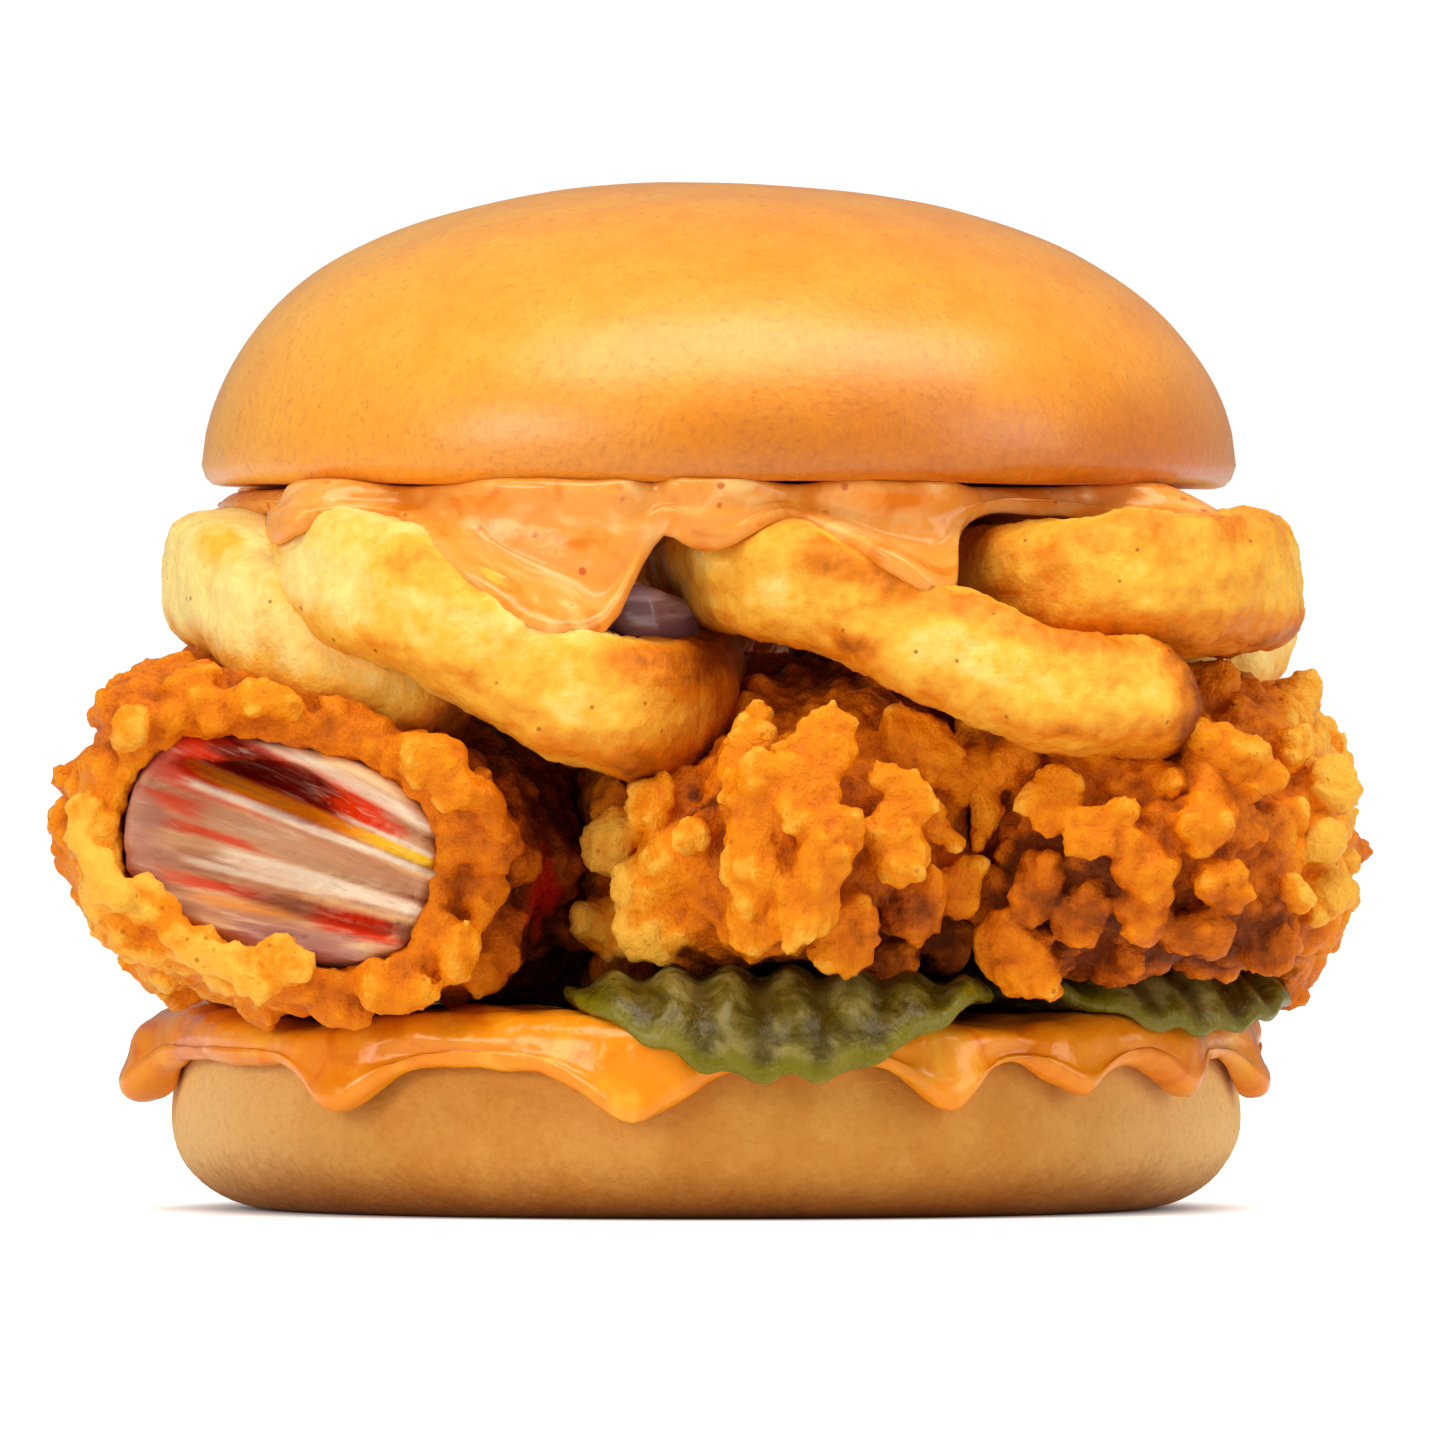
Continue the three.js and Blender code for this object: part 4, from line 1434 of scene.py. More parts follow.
@dataclass
class Curl:
    """A piece bent along a smooth curve, with a rounded four-sided section that turns as it goes."""

    node: str
    points: list[tuple[float, float, float]]
    width: float
    height: float
    twist: float
    seed: int
    fried: float = 0.06
    browned_end: float = 0.0
    squareness: float = 3.0
    unevenness: float = 0.5
    around: int = 72
    along: int = 200
    samples: int = 400
    samples_between: int = 24
    end_crowding: float = 0.07

    def _curve(self, count: int) -> np.ndarray:
        """Runs a smooth curve through the named points.

        Args:
            count: how many points to give.

        Returns:
            Evenly spaced points on the curve.
        """
        named = np.array(self.points, float)
        knots = np.array([2 * named[0] - named[1], *named, 2 * named[-1] - named[-2]])
        fine = []
        for p0, p1, p2, p3 in zip(knots[:-3], knots[1:-2], knots[2:-1], knots[3:]):
            for t in np.linspace(0, 1, self.samples_between, endpoint=False):
                fine.append(0.5 * (2 * p1 + (p2 - p0) * t + (2 * p0 - 5 * p1 + 4 * p2 - p3) * t**2
                                   + (3 * p1 - p0 - 3 * p2 + p3) * t**3))
        fine = np.array([*fine, knots[-2]])
        steps = np.concatenate([[0], np.cumsum(np.linalg.norm(np.diff(fine, axis=0), axis=1))])
        self.length = steps[-1]
        wanted = np.linspace(0, self.length, count)
        return np.stack([np.interp(wanted, steps, column) for column in fine.T], axis=1)

    def build(self, name: str) -> bpy.types.Object:
        """Makes the piece from a ball whose rings are spread along the curve.

        Args:
            name: the piece's name.

        Returns:
            The piece, of which `surface` has the moved points that aren't stored yet.
        """
        shape = bmesh.new()
        bmesh.ops.create_uvsphere(shape, u_segments=self.around, v_segments=self.along, radius=1)
        piece = object_from(shape, name)
        surface = Surface(piece)
        ball = surface.points.copy()
        line = self._curve(self.samples)
        tangent = np.gradient(line, axis=0)
        tangent /= np.linalg.norm(tangent, axis=1)[:, None]
        side = np.cross(tangent, [0, 0, 1])
        side /= np.linalg.norm(side, axis=1)[:, None]
        upright = np.cross(side, tangent)
        ring = np.arccos(np.clip(ball[:, 2], -1, 1)) / math.pi
        share = ring - self.end_crowding * np.sin(2 * math.pi * ring)
        cap = min(self.width, self.height) / 2
        to_end = np.minimum(share, 1 - share) * self.length
        reach = np.sqrt(np.clip(1 - np.clip(1 - to_end / cap, 0, 1) ** 2.6, 0, 1))
        turn = np.arctan2(ball[:, 1], ball[:, 0])
        power = self.squareness
        reach = reach / (np.abs(np.cos(turn)) ** power + np.abs(np.sin(turn)) ** power) ** (1 / power)
        turned_by = self.twist * (share - 0.5)
        across = reach * np.cos(turn) * self.width / 2
        above = reach * np.sin(turn) * self.height / 2
        place = share * (self.samples - 1)

        def at(table: np.ndarray) -> np.ndarray:
            """Reads a table of rows along the curve at each vertex's place."""
            return np.stack([np.interp(place, np.arange(self.samples), column) for column in table.T], axis=1)

        sideways = (across * np.cos(turned_by) - above * np.sin(turned_by))[:, None]
        upwards = (across * np.sin(turned_by) + above * np.cos(turned_by))[:, None]
        centre = at(line)
        surface.points = centre + at(side) * sideways + at(upright) * upwards
        swell = 1 + self.unevenness * Noise(9, self.seed).smooth(surface.points) / cap
        surface.points = centre + (surface.points - centre) * swell[:, None]
        corner = smoothstep(0.55, 1.0, np.abs(np.sin(2 * turn)))
        end = smoothstep(1.3 * cap, 0.2 * cap, to_end)
        self.browning = 0.2 * corner + 0.6 * end
        self.share = share
        self.surface = surface
        return piece

    def dress(self, finish: bpy.types.Material) -> bpy.types.Object:
        """Builds a fry with a grainy skin and sets it in the frame.

        Args:
            finish: the potato's material.

        Returns:
            The fry.
        """
        fry = self.build(self.node + "_potato")
        surface = self.surface
        points = surface.points
        dents = 0.5 * Noise(6, self.seed + 5).smooth(points) + 0.3 * Noise(2.6, self.seed + 6).smooth(points)
        grain = 0.3 * np.abs(Noise(1.2, self.seed + 7).smooth(points))
        surface.push(dents + grain)
        # Painted shade: the undersides are darkened, standing in for the shade beneath the fries.
        under = smoothstep(0.2, -0.9, surface.normals()[:, 2])
        patches = smoothstep(0.05, 0.6, Noise(12, self.seed + 8).smooth(points))
        pits = smoothstep(0.05, -0.4, Noise(1.2, self.seed + 7).smooth(points))
        # The end darkening is partly real browning and partly painted shade where an end lies in shade; the
        # fried mark so holds real browning and the painted shade of undersides and shaded ends.
        browned = self.browning * (0.7 + 0.6 * patches) + self.browned_end * smoothstep(0.55, 1.0, self.share)
        surface.mark("fried", self.fried + browned + 0.26 * under + 0.2 * patches + 0.08 * pits)
        surface.store()
        placed(fry, self.node, finish)
        return fry


def fries() -> list[Curl]:
    """Names the route and section of each curled fry.

    Returns:
        The fries, the front ones first.
    """
    return [
        Curl("fry_right", [(26, -18, 60), (29, -33, 61), (39, -43, 62), (49, -39.5, 62.3), (52.6, -27, 62.6),
                           (51, -14, 62)], 12, 13.6, 0.5, 3, fried=0.36),
        Curl("fry_centre", [(-1, -26, 62), (3, -41, 63.5), (12, -49, 61.3), (23, -52, 56), (34, -52, 51.6),
                            (47, -45, 50.8)], 9.5, 11.4, 1.1, 5, fried=0.2, browned_end=0.12),
        # Its right end is browned and darkened further as painted shade.
        Curl("fry_left_inner", [(-37, -18, 64), (-36.5, -36, 63.6), (-28, -47, 60), (-18, -51, 54.3),
                                (-9.5, -49.5, 50), (-3.5, -40, 50.4), (-2, -27, 54)],
             11.4, 13, -0.6, 8, browned_end=0.85),
        # Its lower end is darkened, partly as painted shade.
        Curl("fry_left_outer", [(-40, 22, 59), (-47, 6, 62), (-47.6, -14, 63), (-43, -30, 59.5),
                                (-35, -38, 54.2), (-23, -38, 49.5)],
             12, 13, 0.7, 13, fried=-0.18, browned_end=0.5),
        Curl("fry_back_left", [(-33, 33, 62), (-25, 44, 62), (-12, 48, 61.5), (-1, 43, 60), (1, 30, 59)],
             11, 12.5, 0.8, 17),
        Curl("fry_back_centre", [(1, 34, 60), (10, 45, 60), (22, 46, 58), (33, 39, 54.5), (39, 30, 54)],
             10.5, 12.6, -0.9, 21),
        Curl("fry_back_right", [(35, 24, 63.5), (46, 21, 62.5), (53, 8, 59.5), (51, -5, 57), (42, -11, 56)],
             11, 12.5, 0.6, 27),
    ]


def dress_onion() -> None:
    """Builds the strip of onion and sets it in the frame."""
    route = [(-24, -30, 63), (-14, -40, 62), (-7, -43.5, 59.6), (-2.5, -39, 58.2), (-1, -30, 58)]
    strip = Curl("onion_strip", route, 2.6, 5.4, 0.0, 31, squareness=2.2, unevenness=0.1, around=32, along=80)
    piece = strip.build("onion_strip_slice")
    strip.surface.store()
    placed(piece, "onion_strip", OnionFinish().build())


# Fried chicken

@dataclass
class Blob:
    """A place in space that fades out round it, for colouring or moving what lies near it."""

    centre: tuple[float, float, float]
    reach: tuple[float, float, float]
    turn: float = 0.0

    def share(self, points: np.ndarray) -> np.ndarray:
        """Gives each point's share of the place.

        Args:
            points: one row of three for each point.

        Returns:
            1 at the centre, falling to 0 at the reach along each axis, after a turn about Y.
        """
        away = points - np.array(self.centre)
        cos, sin = math.cos(self.turn), math.sin(self.turn)
        turned_away = np.stack([cos * away[:, 0] - sin * away[:, 2], away[:, 1],
                                sin * away[:, 0] + cos * away[:, 2]], axis=1)
        return smoothstep(1.0, 0.35, np.linalg.norm(turned_away / np.array(self.reach), axis=1))


@dataclass(frozen=True)
class Flake:
    """A curled flake or lump that is listed: where the front view shows it, its size and how far it rises.

    The lean is the turn of its long axis from +X in the front view, in degrees.
    """

    x: float
    z: float
    length: float
    breadth: float
    lean: float = 0.0
    rise: float = 1.0
    thickness: float = 1.5
    tilt: float = 0.0


@dataclass
class Coating:
    """A piece of chicken's craggy coating, grown over the CAD node's form.

    Each row of flakes holds the values of one Flake.
    """

    node: str
    seed: int
    flakes: list[tuple[float, ...]]
    knobs: int = 260
    voxel: float = 0.53
    inset: float = 0.5
    # pale places are lighter, mostly painted light on lit rims; shade places are painted shade; red places
    # are sauce.
    pale: list[Blob] = field(default_factory=list)
    shade: list[Blob] = field(default_factory=list)
    red: list[Blob] = field(default_factory=list)
    keep_clear: str = ""
    raised: Blob | None = None
    raised_by: float = 0.0
    large_flake: float = 5.0
    base_voxel: float = 1.1

    def _base(self) -> bpy.types.Object:
        """Makes the bare form: the node's own, softened, drawn in a little and lumped.

        Returns:
            The form, ready for its flakes.
        """
        base = object_from(copied_node(self.node), self.node + "_crust")
        remeshed(base, self.base_voxel)
        surface = Surface(base)
        surface.relax(4)
        warped = surface.points + 3 * Noise(11, self.seed).vector(surface.points)
        lumps = 2.6 * np.abs(Noise(8, self.seed + 1).smooth(warped))
        lumps += 0.4 * Noise(4, self.seed + 2).smooth(warped)
        free = self._clear_of_meat(surface.points) if self.keep_clear else 1.0
        surface.push((lumps - self.inset) * free)
        if self.raised:
            surface.points[:, 2] += self.raised_by * self.raised.share(surface.points)
        surface.relax(1)
        surface.store()
        return base

    def _add_flake(self, crumbs: "Crumbs", place: Vector, turn: Quaternion, flake: Flake) -> None:
        """Adds one curled, ragged, lens-shaped flake.

        Args:
            crumbs: the gathered flakes that take it.
            place: its middle.
            turn: takes +Z to the way that it faces and +X to its long axis.
            flake: its sizes.
        """
        ball = crumbs.fine if flake.length > self.large_flake else crumbs.plain
        x, y, z = ball[0].T
        angle = np.arctan2(y, x)
        phase = place.x + 2 * place.z
        ragged = 1 + 0.06 * np.sin(3 * angle + phase)
        ragged += 0.05 * np.sin(5 * angle + 2 * phase) + 0.05 * np.sin(9 * angle)
        along = x * flake.length / 2 * ragged
        across = y * flake.breadth / 2 * ragged
        curl = (0.2 * flake.thickness + 0.05 * flake.length) * (x * x + 0.6 * y * y * math.sin(phase))
        ripple = 0.25 * np.sin(1.5 * along + phase) * (x * x + y * y)
        depth = np.sign(z) * np.abs(z) ** 0.6 * flake.thickness / 2
        bent = np.stack([along, across, depth + curl + ripple], axis=1)
        crumbs.add(np.array(place) + bent @ np.array(turn.to_matrix()).T, ball[1])

    def _placed_flakes(self, crumbs: "Crumbs", surface: Surface) -> None:
        """Adds the listed flakes, where a look from the front meets or passes the form.

        Args:
            crumbs: the gathered flakes that take them.
            surface: the bare form's.
        """
        tree = search_tree(surface.obj)
        normals = surface.normals()
        front = np.flatnonzero(normals[:, 1] < 0.1)
        seen = surface.points[front][:, (0, 2)]
        for flake in itertools.starmap(Flake, self.flakes):
            hit, normal, _, _ = tree.ray_cast(Vector((flake.x, -200, flake.z)) * MM, Vector((0, 1, 0)))
            if hit is None:
                nearest = front[np.argmin(np.linalg.norm(seen - (flake.x, flake.z), axis=1))]
                hit, normal = Vector(surface.points[nearest]) * MM, normals[nearest]
            facing = (0.55 * Vector(normal) + Vector((0, -0.75, 0.18 + flake.tilt))).normalized()
            lean = math.radians(flake.lean)
            along = Vector((math.cos(lean), 0, math.sin(lean)))
            along = (along - along.dot(facing) * facing).normalized()
            turn = Matrix((along, facing.cross(along), facing)).transposed().to_quaternion()
            self._add_flake(crumbs, hit / MM + facing * flake.rise, turn, flake)

    def _scattered_knobs(self, crumbs: "Crumbs", surface: Surface) -> None:
        """Scatters small flakes and knobs over the bare form.

        Args:
            crumbs: the gathered flakes that take them.
            surface: the bare form's.
        """
        draw = np.random.default_rng(self.seed)
        normals = surface.normals()
        places = surface.points
        weight = smoothstep(-0.95, -0.3, normals[:, 2]) + 0.05
        if self.keep_clear:
            weight = weight * self._clear_of_meat(places)
        picks = draw.choice(len(places), self.knobs, replace=False, p=weight / weight.sum())
        for pick in picks:
            outward = Vector(normals[pick])
            length = 2.2 + 4.4 * draw.random() ** 2.2
            flake = Flake(0, 0, length, length * draw.uniform(0.6, 1.0), thickness=draw.uniform(1.0, 1.9))
            lean = Vector(draw.normal(size=3)).normalized() * draw.uniform(0.1, 0.7)
            facing = Vector((0, 0, 1)).rotation_difference((outward + lean).normalized())
            spin = Quaternion((0, 0, 1), draw.uniform(0, 2 * math.pi))
            place = Vector(places[pick]) + outward * draw.uniform(-0.3, 0.4)
            self._add_flake(crumbs, place, facing @ spin, flake)

    def _flaked(self, base: bpy.types.Object) -> None:
        """Fuses the flakes and knobs with the bare form.

        Args:
            base: the form.
        """
        crumbs = Crumbs()
        self._placed_flakes(crumbs, Surface(base))
        self._scattered_knobs(crumbs, Surface(base))
        crumbs.join_to(base)
        remeshed(base, self.voxel)
        keep_largest(base)

    def _clear_of_meat(self, places: np.ndarray) -> np.ndarray:
        """Gives 0 beside the meat and 1 away from it, so that no knob covers the torn face."""
        return smoothstep(1.4, 3.0, distances(search_tree(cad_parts[self.keep_clear]), places))

    def _crags(self, coat: bpy.types.Object) -> Surface:
        """Roughens the fused coating with rounded lumps of three sizes.

        Args:
            coat: the fused piece.

        Returns:
            Its surface, as moved.
        """
        surface = Surface(coat)
        surface.relax(4, 0.5)
        warped = surface.points + 1.2 * Noise(3.6, self.seed + 3).vector(surface.points)
        surface.push(1.3 * np.abs(Noise(3.9, self.seed + 4).smooth(warped)) - 0.3)
        surface.relax(2, 0.5)
        warped = surface.points + 0.7 * Noise(2.0, self.seed + 5).vector(surface.points)
        surface.push(0.85 * np.abs(Noise(2.0, self.seed + 6).smooth(warped)) - 0.18)
        surface.relax(1, 0.4)
        surface.push(0.36 * np.abs(Noise(1.15, self.seed + 7).smooth(surface.points)))
        return surface

    def build(self) -> bpy.types.Object:
        """Makes the coating and marks its crests, pale and shaded places and sauce.

        Returns:
            The coating.
        """
        coat = self._base()
        bare = search_tree(coat)
        self._flaked(coat)
        surface = self._crags(coat)
        points = surface.points
        # Crests are made paler and hollows darker: partly the coating's own colour, partly painted shade in
        # the hollows.
        crests = 0.34 * surface.convexity(9) + 0.15 * surface.convexity(44)
        level = 0.36 + crests + 0.045 * distances(bare, points)
        surface.mark("crag", surface.evened(level, 1))
        for name, blobs in (("pale", self.pale), ("shade", self.shade), ("red", self.red)):
            share = np.zeros(len(points))
            for blob in blobs:
                share = np.maximum(share, blob.share(points + 2.0 * Noise(5, 77).vector(points)))
            surface.mark(name, share)
        surface.store()
        return coat

    def dress(self, finish: bpy.types.Material) -> None:
        """Builds the coating and sets it in the frame."""
        placed(self.build(), self.node, finish)


@dataclass
class TornMeat:
    """The meat of the left piece, whose torn face is combed into strands that fan out to the left."""

    node: str = "chicken_left_meat"
    finish: MeatFinish = field(default_factory=MeatFinish)
    voxel: float = 0.58
    hollow: Blob = field(default_factory=lambda: Blob((-43.5, -46, 42.8), (10.5, 14, 3.4), 0.4))
    dish: Blob = field(default_factory=lambda: Blob((-41, -48, 36.6), (19, 16, 12.5), 0.4))

    def build(self) -> bpy.types.Object:
        """Makes the meat and combs its torn face.

        Returns:
            The meat.
        """
        meat = object_from(copied_node(self.node), "chicken_left_strands")
        remeshed(meat, self.voxel)
        surface = Surface(meat)
        surface.relax(8)
        normals = surface.normals()
        x, y, z = surface.points.T
        face = smoothstep(-0.35, -0.8, normals[:, 1]) * smoothstep(-30, -38, y)
        face = surface.evened(face, 6)
        aside = self.finish.fan[0] - x
        angle = np.degrees(np.arctan2(z - self.finish.fan[1], aside))
        combed = np.stack([angle, np.zeros_like(x), aside * 0.1], axis=1)
        strands = 0.9 * Noise(3.4, 61).ridges(combed)
        strands += 1.2 * Noise(1.5, 63).smooth(combed) + 0.4 * Noise(0.8, 65).smooth(combed)
        white = np.zeros(len(x))
        for streak in self.finish.streaks:
            if streak.tone in (Tone.WHITE, Tone.CREAM):
                span = smoothstep(streak.start - 1, streak.start + 4, x)
                off = np.abs(angle - streak.angle) / streak.half_width
                white = np.maximum(white, span * smoothstep(1.6, 0.4, off))
        strands += 0.9 * white
        sunk = 4.6 * self.hollow.share(surface.points) + 3.4 * self.dish.share(surface.points)
        surface.push(face * (strands - sunk))
        # Marks the valleys between strands, whose darkening is partly red sauce and partly painted shade.
        surface.mark("valley", face * smoothstep(0.5, -1.1, strands))
        surface.store()
        return meat

    def dress(self) -> None:
        """Builds the meat and sets it in the frame."""
        placed(self.build(), self.node, self.finish.build())


# Stage

@dataclass
class Softbox:
    """A rectangular light that looks at the burger."""

    name: str
    place: tuple[float, float, float]
    width: float
    depth: float
    power: float
    colour: Colour = WHITE

    def build(self, aim: Vector) -> None:
        """Adds the light.

        Args:
            aim: the place that it looks at.
        """
        light = bpy.data.lights.new(self.name, "AREA")
        light.shape = "RECTANGLE"
        light.size, light.size_y = self.width, self.depth
        light.energy, light.color = self.power, self.colour
        lamp = bpy.data.objects.new(self.name, light)
        lamp.location = self.place
        lamp.rotation_euler = (aim - Vector(self.place)).to_track_quat("-Z", "Y").to_euler()
        bpy.context.scene.collection.objects.link(lamp)


@dataclass
class Stage:
    """The pale floor, the white surroundings, the lights and the camera."""

    camera_place: tuple[float, float, float] = (0.0014, -2.0, 0.0488)
    lens: float = 500.0
    floor_radius: float = 6.0
    surround: float = 0.3
    backdrop: float = 1.05
    aim_height: float = 0.05
    shadow_from: float = 42.0
    shadow_to: float = 66.0
    lights: list[Softbox] = field(default_factory=lambda: [
        Softbox("overhead_softbox", (0.06, -0.24, 0.7), 1.0, 0.34, 5.3),
        Softbox("left_softbox", (-0.75, -0.7, 0.36), 0.5, 0.4, 3.9),
        Softbox("right_softbox", (0.9, -0.4, 0.35), 0.5, 0.5, 2.4),
    ])

    def _floor(self) -> None:
        """Adds the floor disc with a pale finish that glows as painted light, with a painted contact shadow
        round the burger's foot.
        """
        shape = bmesh.new()
        bmesh.ops.create_circle(shape, cap_ends=True, segments=96, radius=self.floor_radius)
        mesh = bpy.data.meshes.new("floor")
        shape.to_mesh(mesh)
        shape.free()
        floor = bpy.data.objects.new("floor", mesh)
        bpy.context.scene.collection.objects.link(floor)
        bench = Bench("floor_finish")
        grain = bench.noise(40, 2)
        colour = bench.mix(grain, (0.8, 0.795, 0.79), (0.82, 0.82, 0.815))
        x, y = bench.place("X"), bench.place("Y")
        radius = (x * x + y * y).math("SQRT")
        seen = Field(bench, bench.node("ShaderNodeLightPath", {}, {}).outputs["Is Camera Ray"])
        # Painted light and painted shadow: the floor glows, fully to the camera and faintly onto the burger,
        # and the glow fades to black round the burger's foot as a painted contact shadow.
        glow = bench.mix(radius.step(self.shadow_from, self.shadow_to) * (seen * 0.8 + 0.2), BLACK, WHITE)
        fixed = {"Emission Strength": 1.0, "Specular IOR Level": 0.1, "Roughness": 0.9}
        mesh.materials.append(bench.finished({"Base Color": colour, "Emission Color": glow}, fixed))

    def _world(self) -> None:
        """Surrounds the burger with soft white, which the camera sees as full white."""
        world = bpy.data.worlds.new("surround")
        world.use_nodes = True
        nodes, links = world.node_tree.nodes, world.node_tree.links
        background = nodes["Background"]
        background.inputs["Color"].default_value = (1.0, 1.0, 1.0, 1.0)
        rays = nodes.new("ShaderNodeLightPath")
        strength = nodes.new("ShaderNodeMapRange")
        strength.inputs["To Min"].default_value = self.surround
        strength.inputs["To Max"].default_value = self.backdrop
        links.new(rays.outputs["Is Camera Ray"], strength.inputs["Value"])
        links.new(strength.outputs[0], background.inputs["Strength"])
        bpy.context.scene.world = world

    def _camera(self) -> None:
        """Adds the camera, level and looking along +Y."""
        camera = bpy.data.cameras.new("camera")
        camera.lens = self.lens
        camera.clip_start, camera.clip_end = 0.1, 50.0
        obj = bpy.data.objects.new("camera", camera)
        obj.location = self.camera_place
        obj.rotation_euler = (math.pi / 2, 0, 0)
        bpy.context.scene.collection.objects.link(obj)
        bpy.context.scene.camera = obj

    def build(self) -> None:
        """Sets everything up round the burger."""
        self._floor()
        self._world()
        self._camera()
        for light in self.lights:
            light.build(Vector((0, 0, self.aim_height)))
        bpy.context.scene.view_settings.view_transform = "Standard"
        log.info("stage: %d lights", len(self.lights))


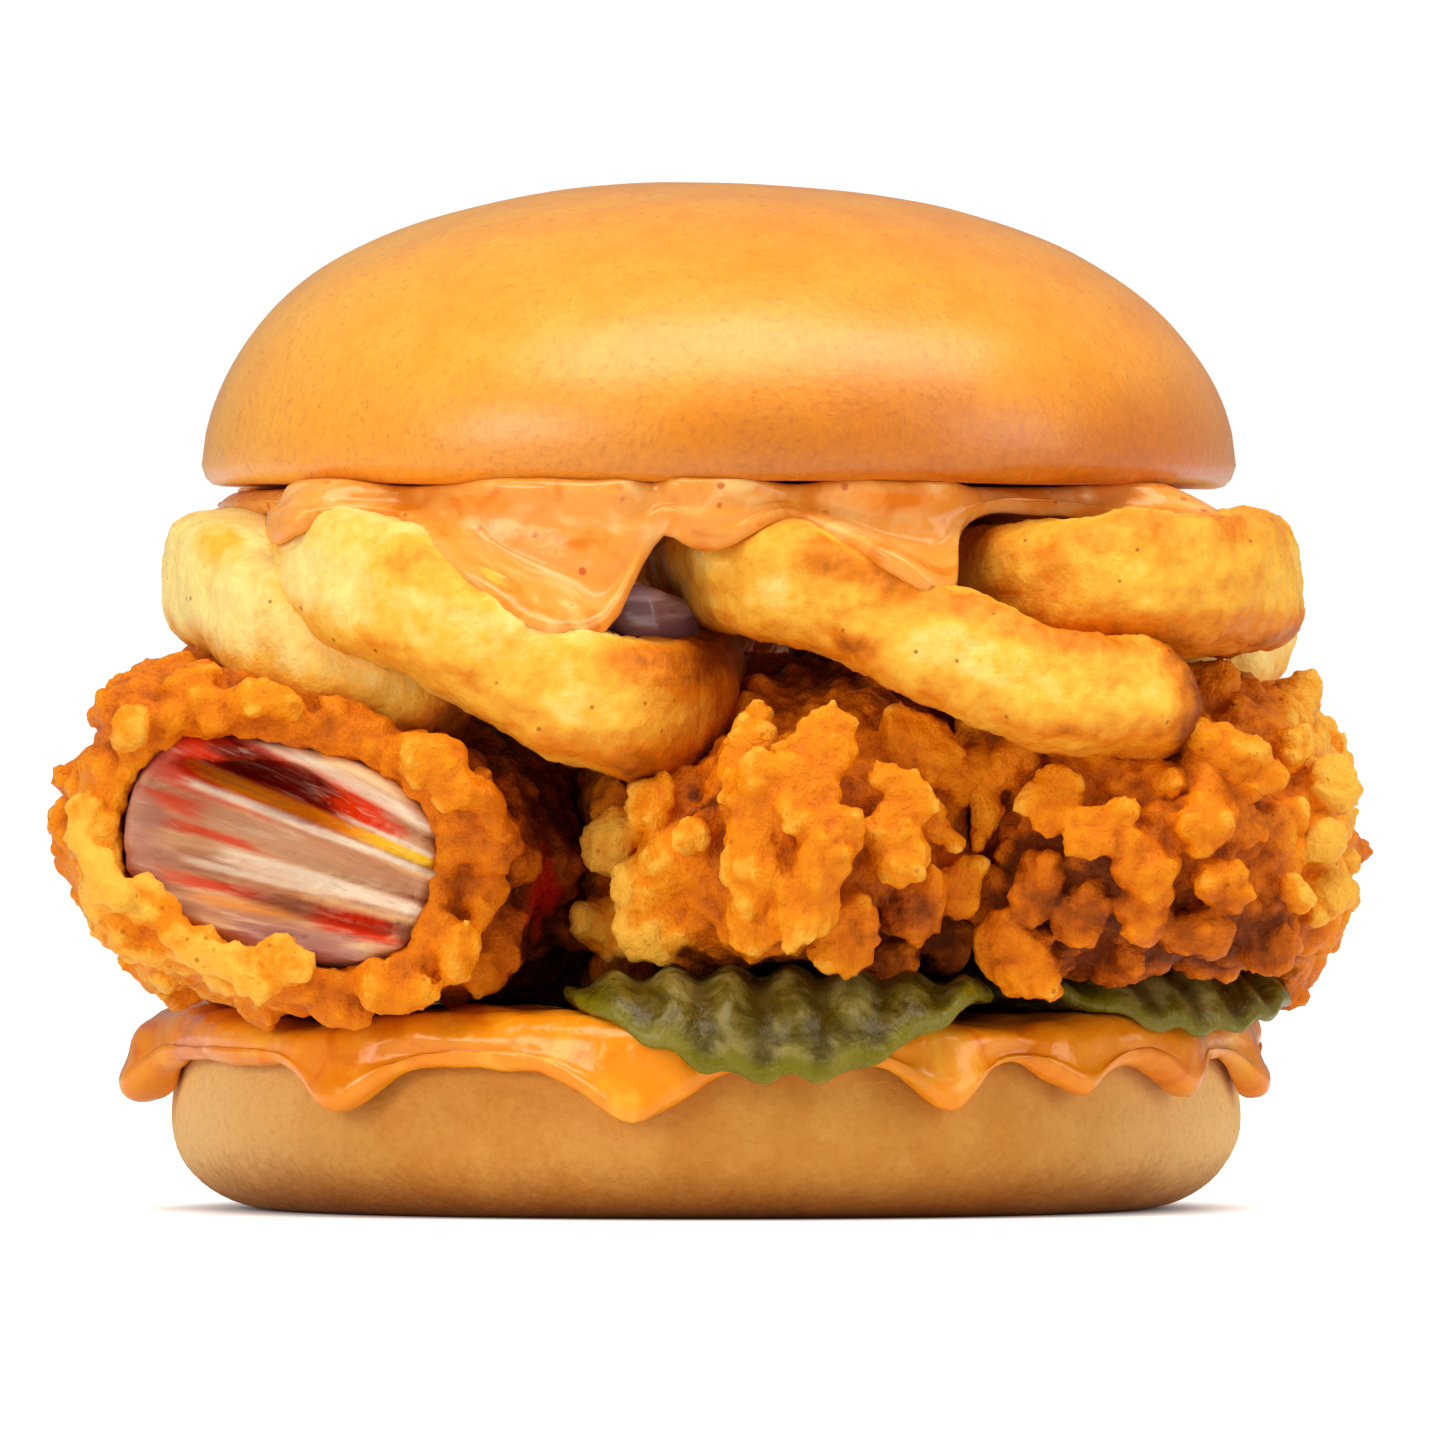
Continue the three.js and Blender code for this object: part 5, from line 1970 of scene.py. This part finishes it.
def chicken() -> list[Coating]:
    """Names the three coatings, with the flakes that stand out, the sauced places, the places of painted
    shade, and the pale places, which on the left and right pieces are painted light on their lit rims.

    Returns:
        The coatings of the left, middle and right pieces.
    """
    left = Coating(
        "chicken_left_coating", 2, voxel=0.63, keep_clear="chicken_left_meat",
        flakes=[
            (-60, 38, 7, 4, -75, 1.2, 3), (-58.5, 33, 7, 4, -60, 1.4, 3), (-54, 30, 7, 4, -40, 1.6, 3),
            (-50, 26.5, 7, 4.4, -35, 1.6, 3), (-45, 24, 8, 4.4, -40, 1.8, 3),
            (-40.5, 24.5, 7, 4, -50, 2, 3), (-36, 21.5, 8, 4, -25, 2.2, 3), (-30, 22.5, 8, 4, 5, 2, 3),
            (-25, 26.5, 6.5, 4.6, 75, 2.2, 3.4), (-27, 44.5, 7, 5, -10, 2.6, 4),
            (-24, 41.5, 6, 4, -50, 2.2, 3), (-21, 37, 5.4, 5, 60, 2.4, 3.6),
            (-18.8, 34.5, 4, 3.6, 0, 2, 3), (-22.5, 32, 6.5, 4.6, 80, 2.2, 3.4),
            (-20.5, 28, 5, 4, 40, 1.8, 3.4), (-56, 48, 5, 3.6, 40, 1.4, 3),
            (-50, 51.5, 6, 4, 20, 1.4, 3), (-43, 50, 7, 4, -10, 1.6, 3), (-35, 48, 7, 4, -20, 1.6, 3),
            (-22, 24.5, 7, 4, 20, 1.6, 3),
        ],
        # Painted light along the lit left side of the piece, and a lighter band along its bottom.
        pale=[Blob((-60, -40, 34), (9, 40, 14)), Blob((-50, -40, 24), (18, 30, 7))],
        shade=[Blob((-14, -40, 34), (9, 60, 22)), Blob((-22, -40, 47), (14, 40, 3.6), 0.3)],
        red=[Blob((-16, -44, 31), (1.8, 20, 8))],
    )
    middle = Coating(
        "chicken_middle", 5, inset=0.1, knobs=150,
        flakes=[
            (-11.8, 32, 6, 5, 20, 1.6, 4.6), (-8, 36.5, 7, 5.6, 30, 2, 4.6),
            (-4.4, 39.6, 6, 4.4, 60, 2, 4), (-8.6, 29, 7, 6, -20, 2.6, 5),
            (-4.6, 33, 7, 6, 10, 3.2, 4.6), (-8.4, 24.6, 7, 6, -30, 2, 5.4),
            (-3.6, 28.2, 8, 6, 0, 3.4, 5), (0.6, 24.6, 9, 5.6, 5, 3.2, 5.4),
            (7, 24.4, 9, 5, 15, 2.6, 5), (-10.4, 22.6, 5, 4, 0, 1.8, 4),
            (-1.2, 36.6, 4.6, 4, 40, 2.6, 3.6), (5.6, 37.6, 16, 7, 82, 3.6, 4),
            (9, 42, 15, 7, 66, 4, 3.6, 0.1), (12.4, 47.2, 9, 5.6, 42, 3.8, 3, 0.2),
            (15, 49, 5.4, 4, 30, 3.6, 2.4, 0.2), (4, 43.6, 9, 5, 70, 3.2, 3),
            (4.6, 47, 4.6, 3, 62, 3, 2), (-0.4, 45.2, 5.4, 4, 10, 2.2, 3), (-5, 43, 6, 5, 0, 1.6, 4),
            (9.6, 33, 12, 6, 72, 3.2, 4.4), (12.2, 36.4, 8, 4.4, 72, 3.8, 3),
            (13, 29, 9, 6, 70, 2.6, 4.4), (5.6, 30, 9, 6, 50, 3, 4.4),
            (18.6, 41.6, 8, 3.8, -38, 3.4, 2.4), (22.4, 38, 6.6, 2.8, -52, 3.6, 2),
            (20, 46, 9, 6, -20, 2, 4), (24.6, 43, 7, 5, 35, 2, 4), (18, 36, 8, 6, -60, 2.2, 4),
            (20, 31, 8, 6, 62, 2.2, 4.4), (17.4, 26.4, 8, 5, 20, 2.2, 5),
            (23.4, 27.6, 6, 5, 60, 1.8, 4), (24, 33, 7, 5, 60, 1.8, 4), (13, 24, 7, 4.4, 10, 2.4, 4.4),
        ],
        pale=[Blob((-8, -54, 31), (11, 26, 13))],
        shade=[Blob((22, -46, 25), (13, 40, 10)), Blob((20, -10, 54), (26, 44, 9)),
               Blob((0.6, -50, 40.4), (3.4, 20, 2))],
    )
    right = Coating(
        "chicken_right", 9, inset=0.2, knobs=200, raised=Blob((52, -34, 18), (18, 30, 11)), raised_by=4.0,
        flakes=[
            (28, 38.6, 7, 2.6, 80, 3, 2), (41.6, 44.4, 5, 3.4, -20, 3, 2.6),
            (38.4, 37.6, 9, 4.4, 32, 3, 2.4), (34.4, 40, 7, 6, 60, 2.2, 4),
            (46, 46, 7, 3.6, 0, 3, 3, 0.2), (50.4, 44.4, 8, 4.4, -15, 3.4, 3.4, 0.2),
            (53, 41.6, 6, 4, -10, 3, 3.4), (42.6, 35, 8, 6, -40, 1.8, 4), (43, 30.6, 7, 5, 70, 1.6, 4),
            (31.4, 26, 10, 7, -50, 3.2, 6), (35.4, 23, 8, 6, -60, 3.2, 5.4),
            (28, 23.6, 6, 5, 40, 2.6, 5), (56.4, 32, 5, 3, -40, 2.4, 2.2), (60, 37, 5, 4, 80, 1.6, 4),
            (60, 31, 6, 5, 30, 1.5, 4), (61, 42, 6, 5, 80, 1.5, 4), (58.4, 50, 6, 5, 60, 1.5, 4),
            (54, 52.5, 6, 5, 40, 1.5, 4), (49, 51, 7, 6, 40, 1.4, 4), (55.4, 27, 6, 5, 30, 1.4, 4),
            (48, 38, 6, 5, 20, 1.6, 3.6), (50, 33, 6, 5, -30, 1.6, 3.6), (33, 33, 7, 5, 70, 1.6, 4),
            (37, 30, 7, 5, 50, 1.6, 4), (48, 28, 7, 5, 0, 1.4, 4), (30, 44, 7, 5, 40, 1.8, 4),
            (36, 47, 7, 4, 10, 1.6, 3.6), (28, 31, 6, 5, 70, 1.6, 4), (57, 46, 5, 4, 60, 1.6, 3.4),
        ],
        # Painted light along the lit right rim of the piece.
        pale=[Blob((62, -20, 42), (8, 60, 24))],
        shade=[Blob((34, -40, 30), (17, 24, 14)), Blob((50, -44, 27), (13, 26, 7)),
               Blob((57, -40, 31.6), (3, 30, 2.2), 0.6)],
    )
    return [left, middle, right]


def main() -> None:
    """Builds the stage and every piece, in order."""
    form = "%(relativeCreated)6d ms, %(name)s: %(message)s"
    logging.basicConfig(level=logging.INFO, format=form, stream=sys.stdout)
    Stage().build()
    bun = Bun()
    bun.dress()
    LowerSauce(bun).dress()
    pickle = PickleFinish().build()
    for chip in (PickleChip("pickle_left", 21, (6.9, -42.2, 22.0), 0.0, 8, 1),
                 PickleChip("pickle_right", 18.5, (40, -19.3, 22.4), 0.75, 4, 4),
                 PickleChip("pickle_back", 21, (-14, 40.5, 22.0), 3.3, 6, 7)):
        chip.dress(pickle)
    potato = PotatoFinish().build()
    made = [fry.dress(potato) for fry in fries()]
    dress_onion()
    UpperSauce(bun, made).dress()
    coating = CoatingFinish().build()
    for piece in chicken():
        piece.dress(coating)
    TornMeat().dress()


if __name__ == "__main__":
    main()
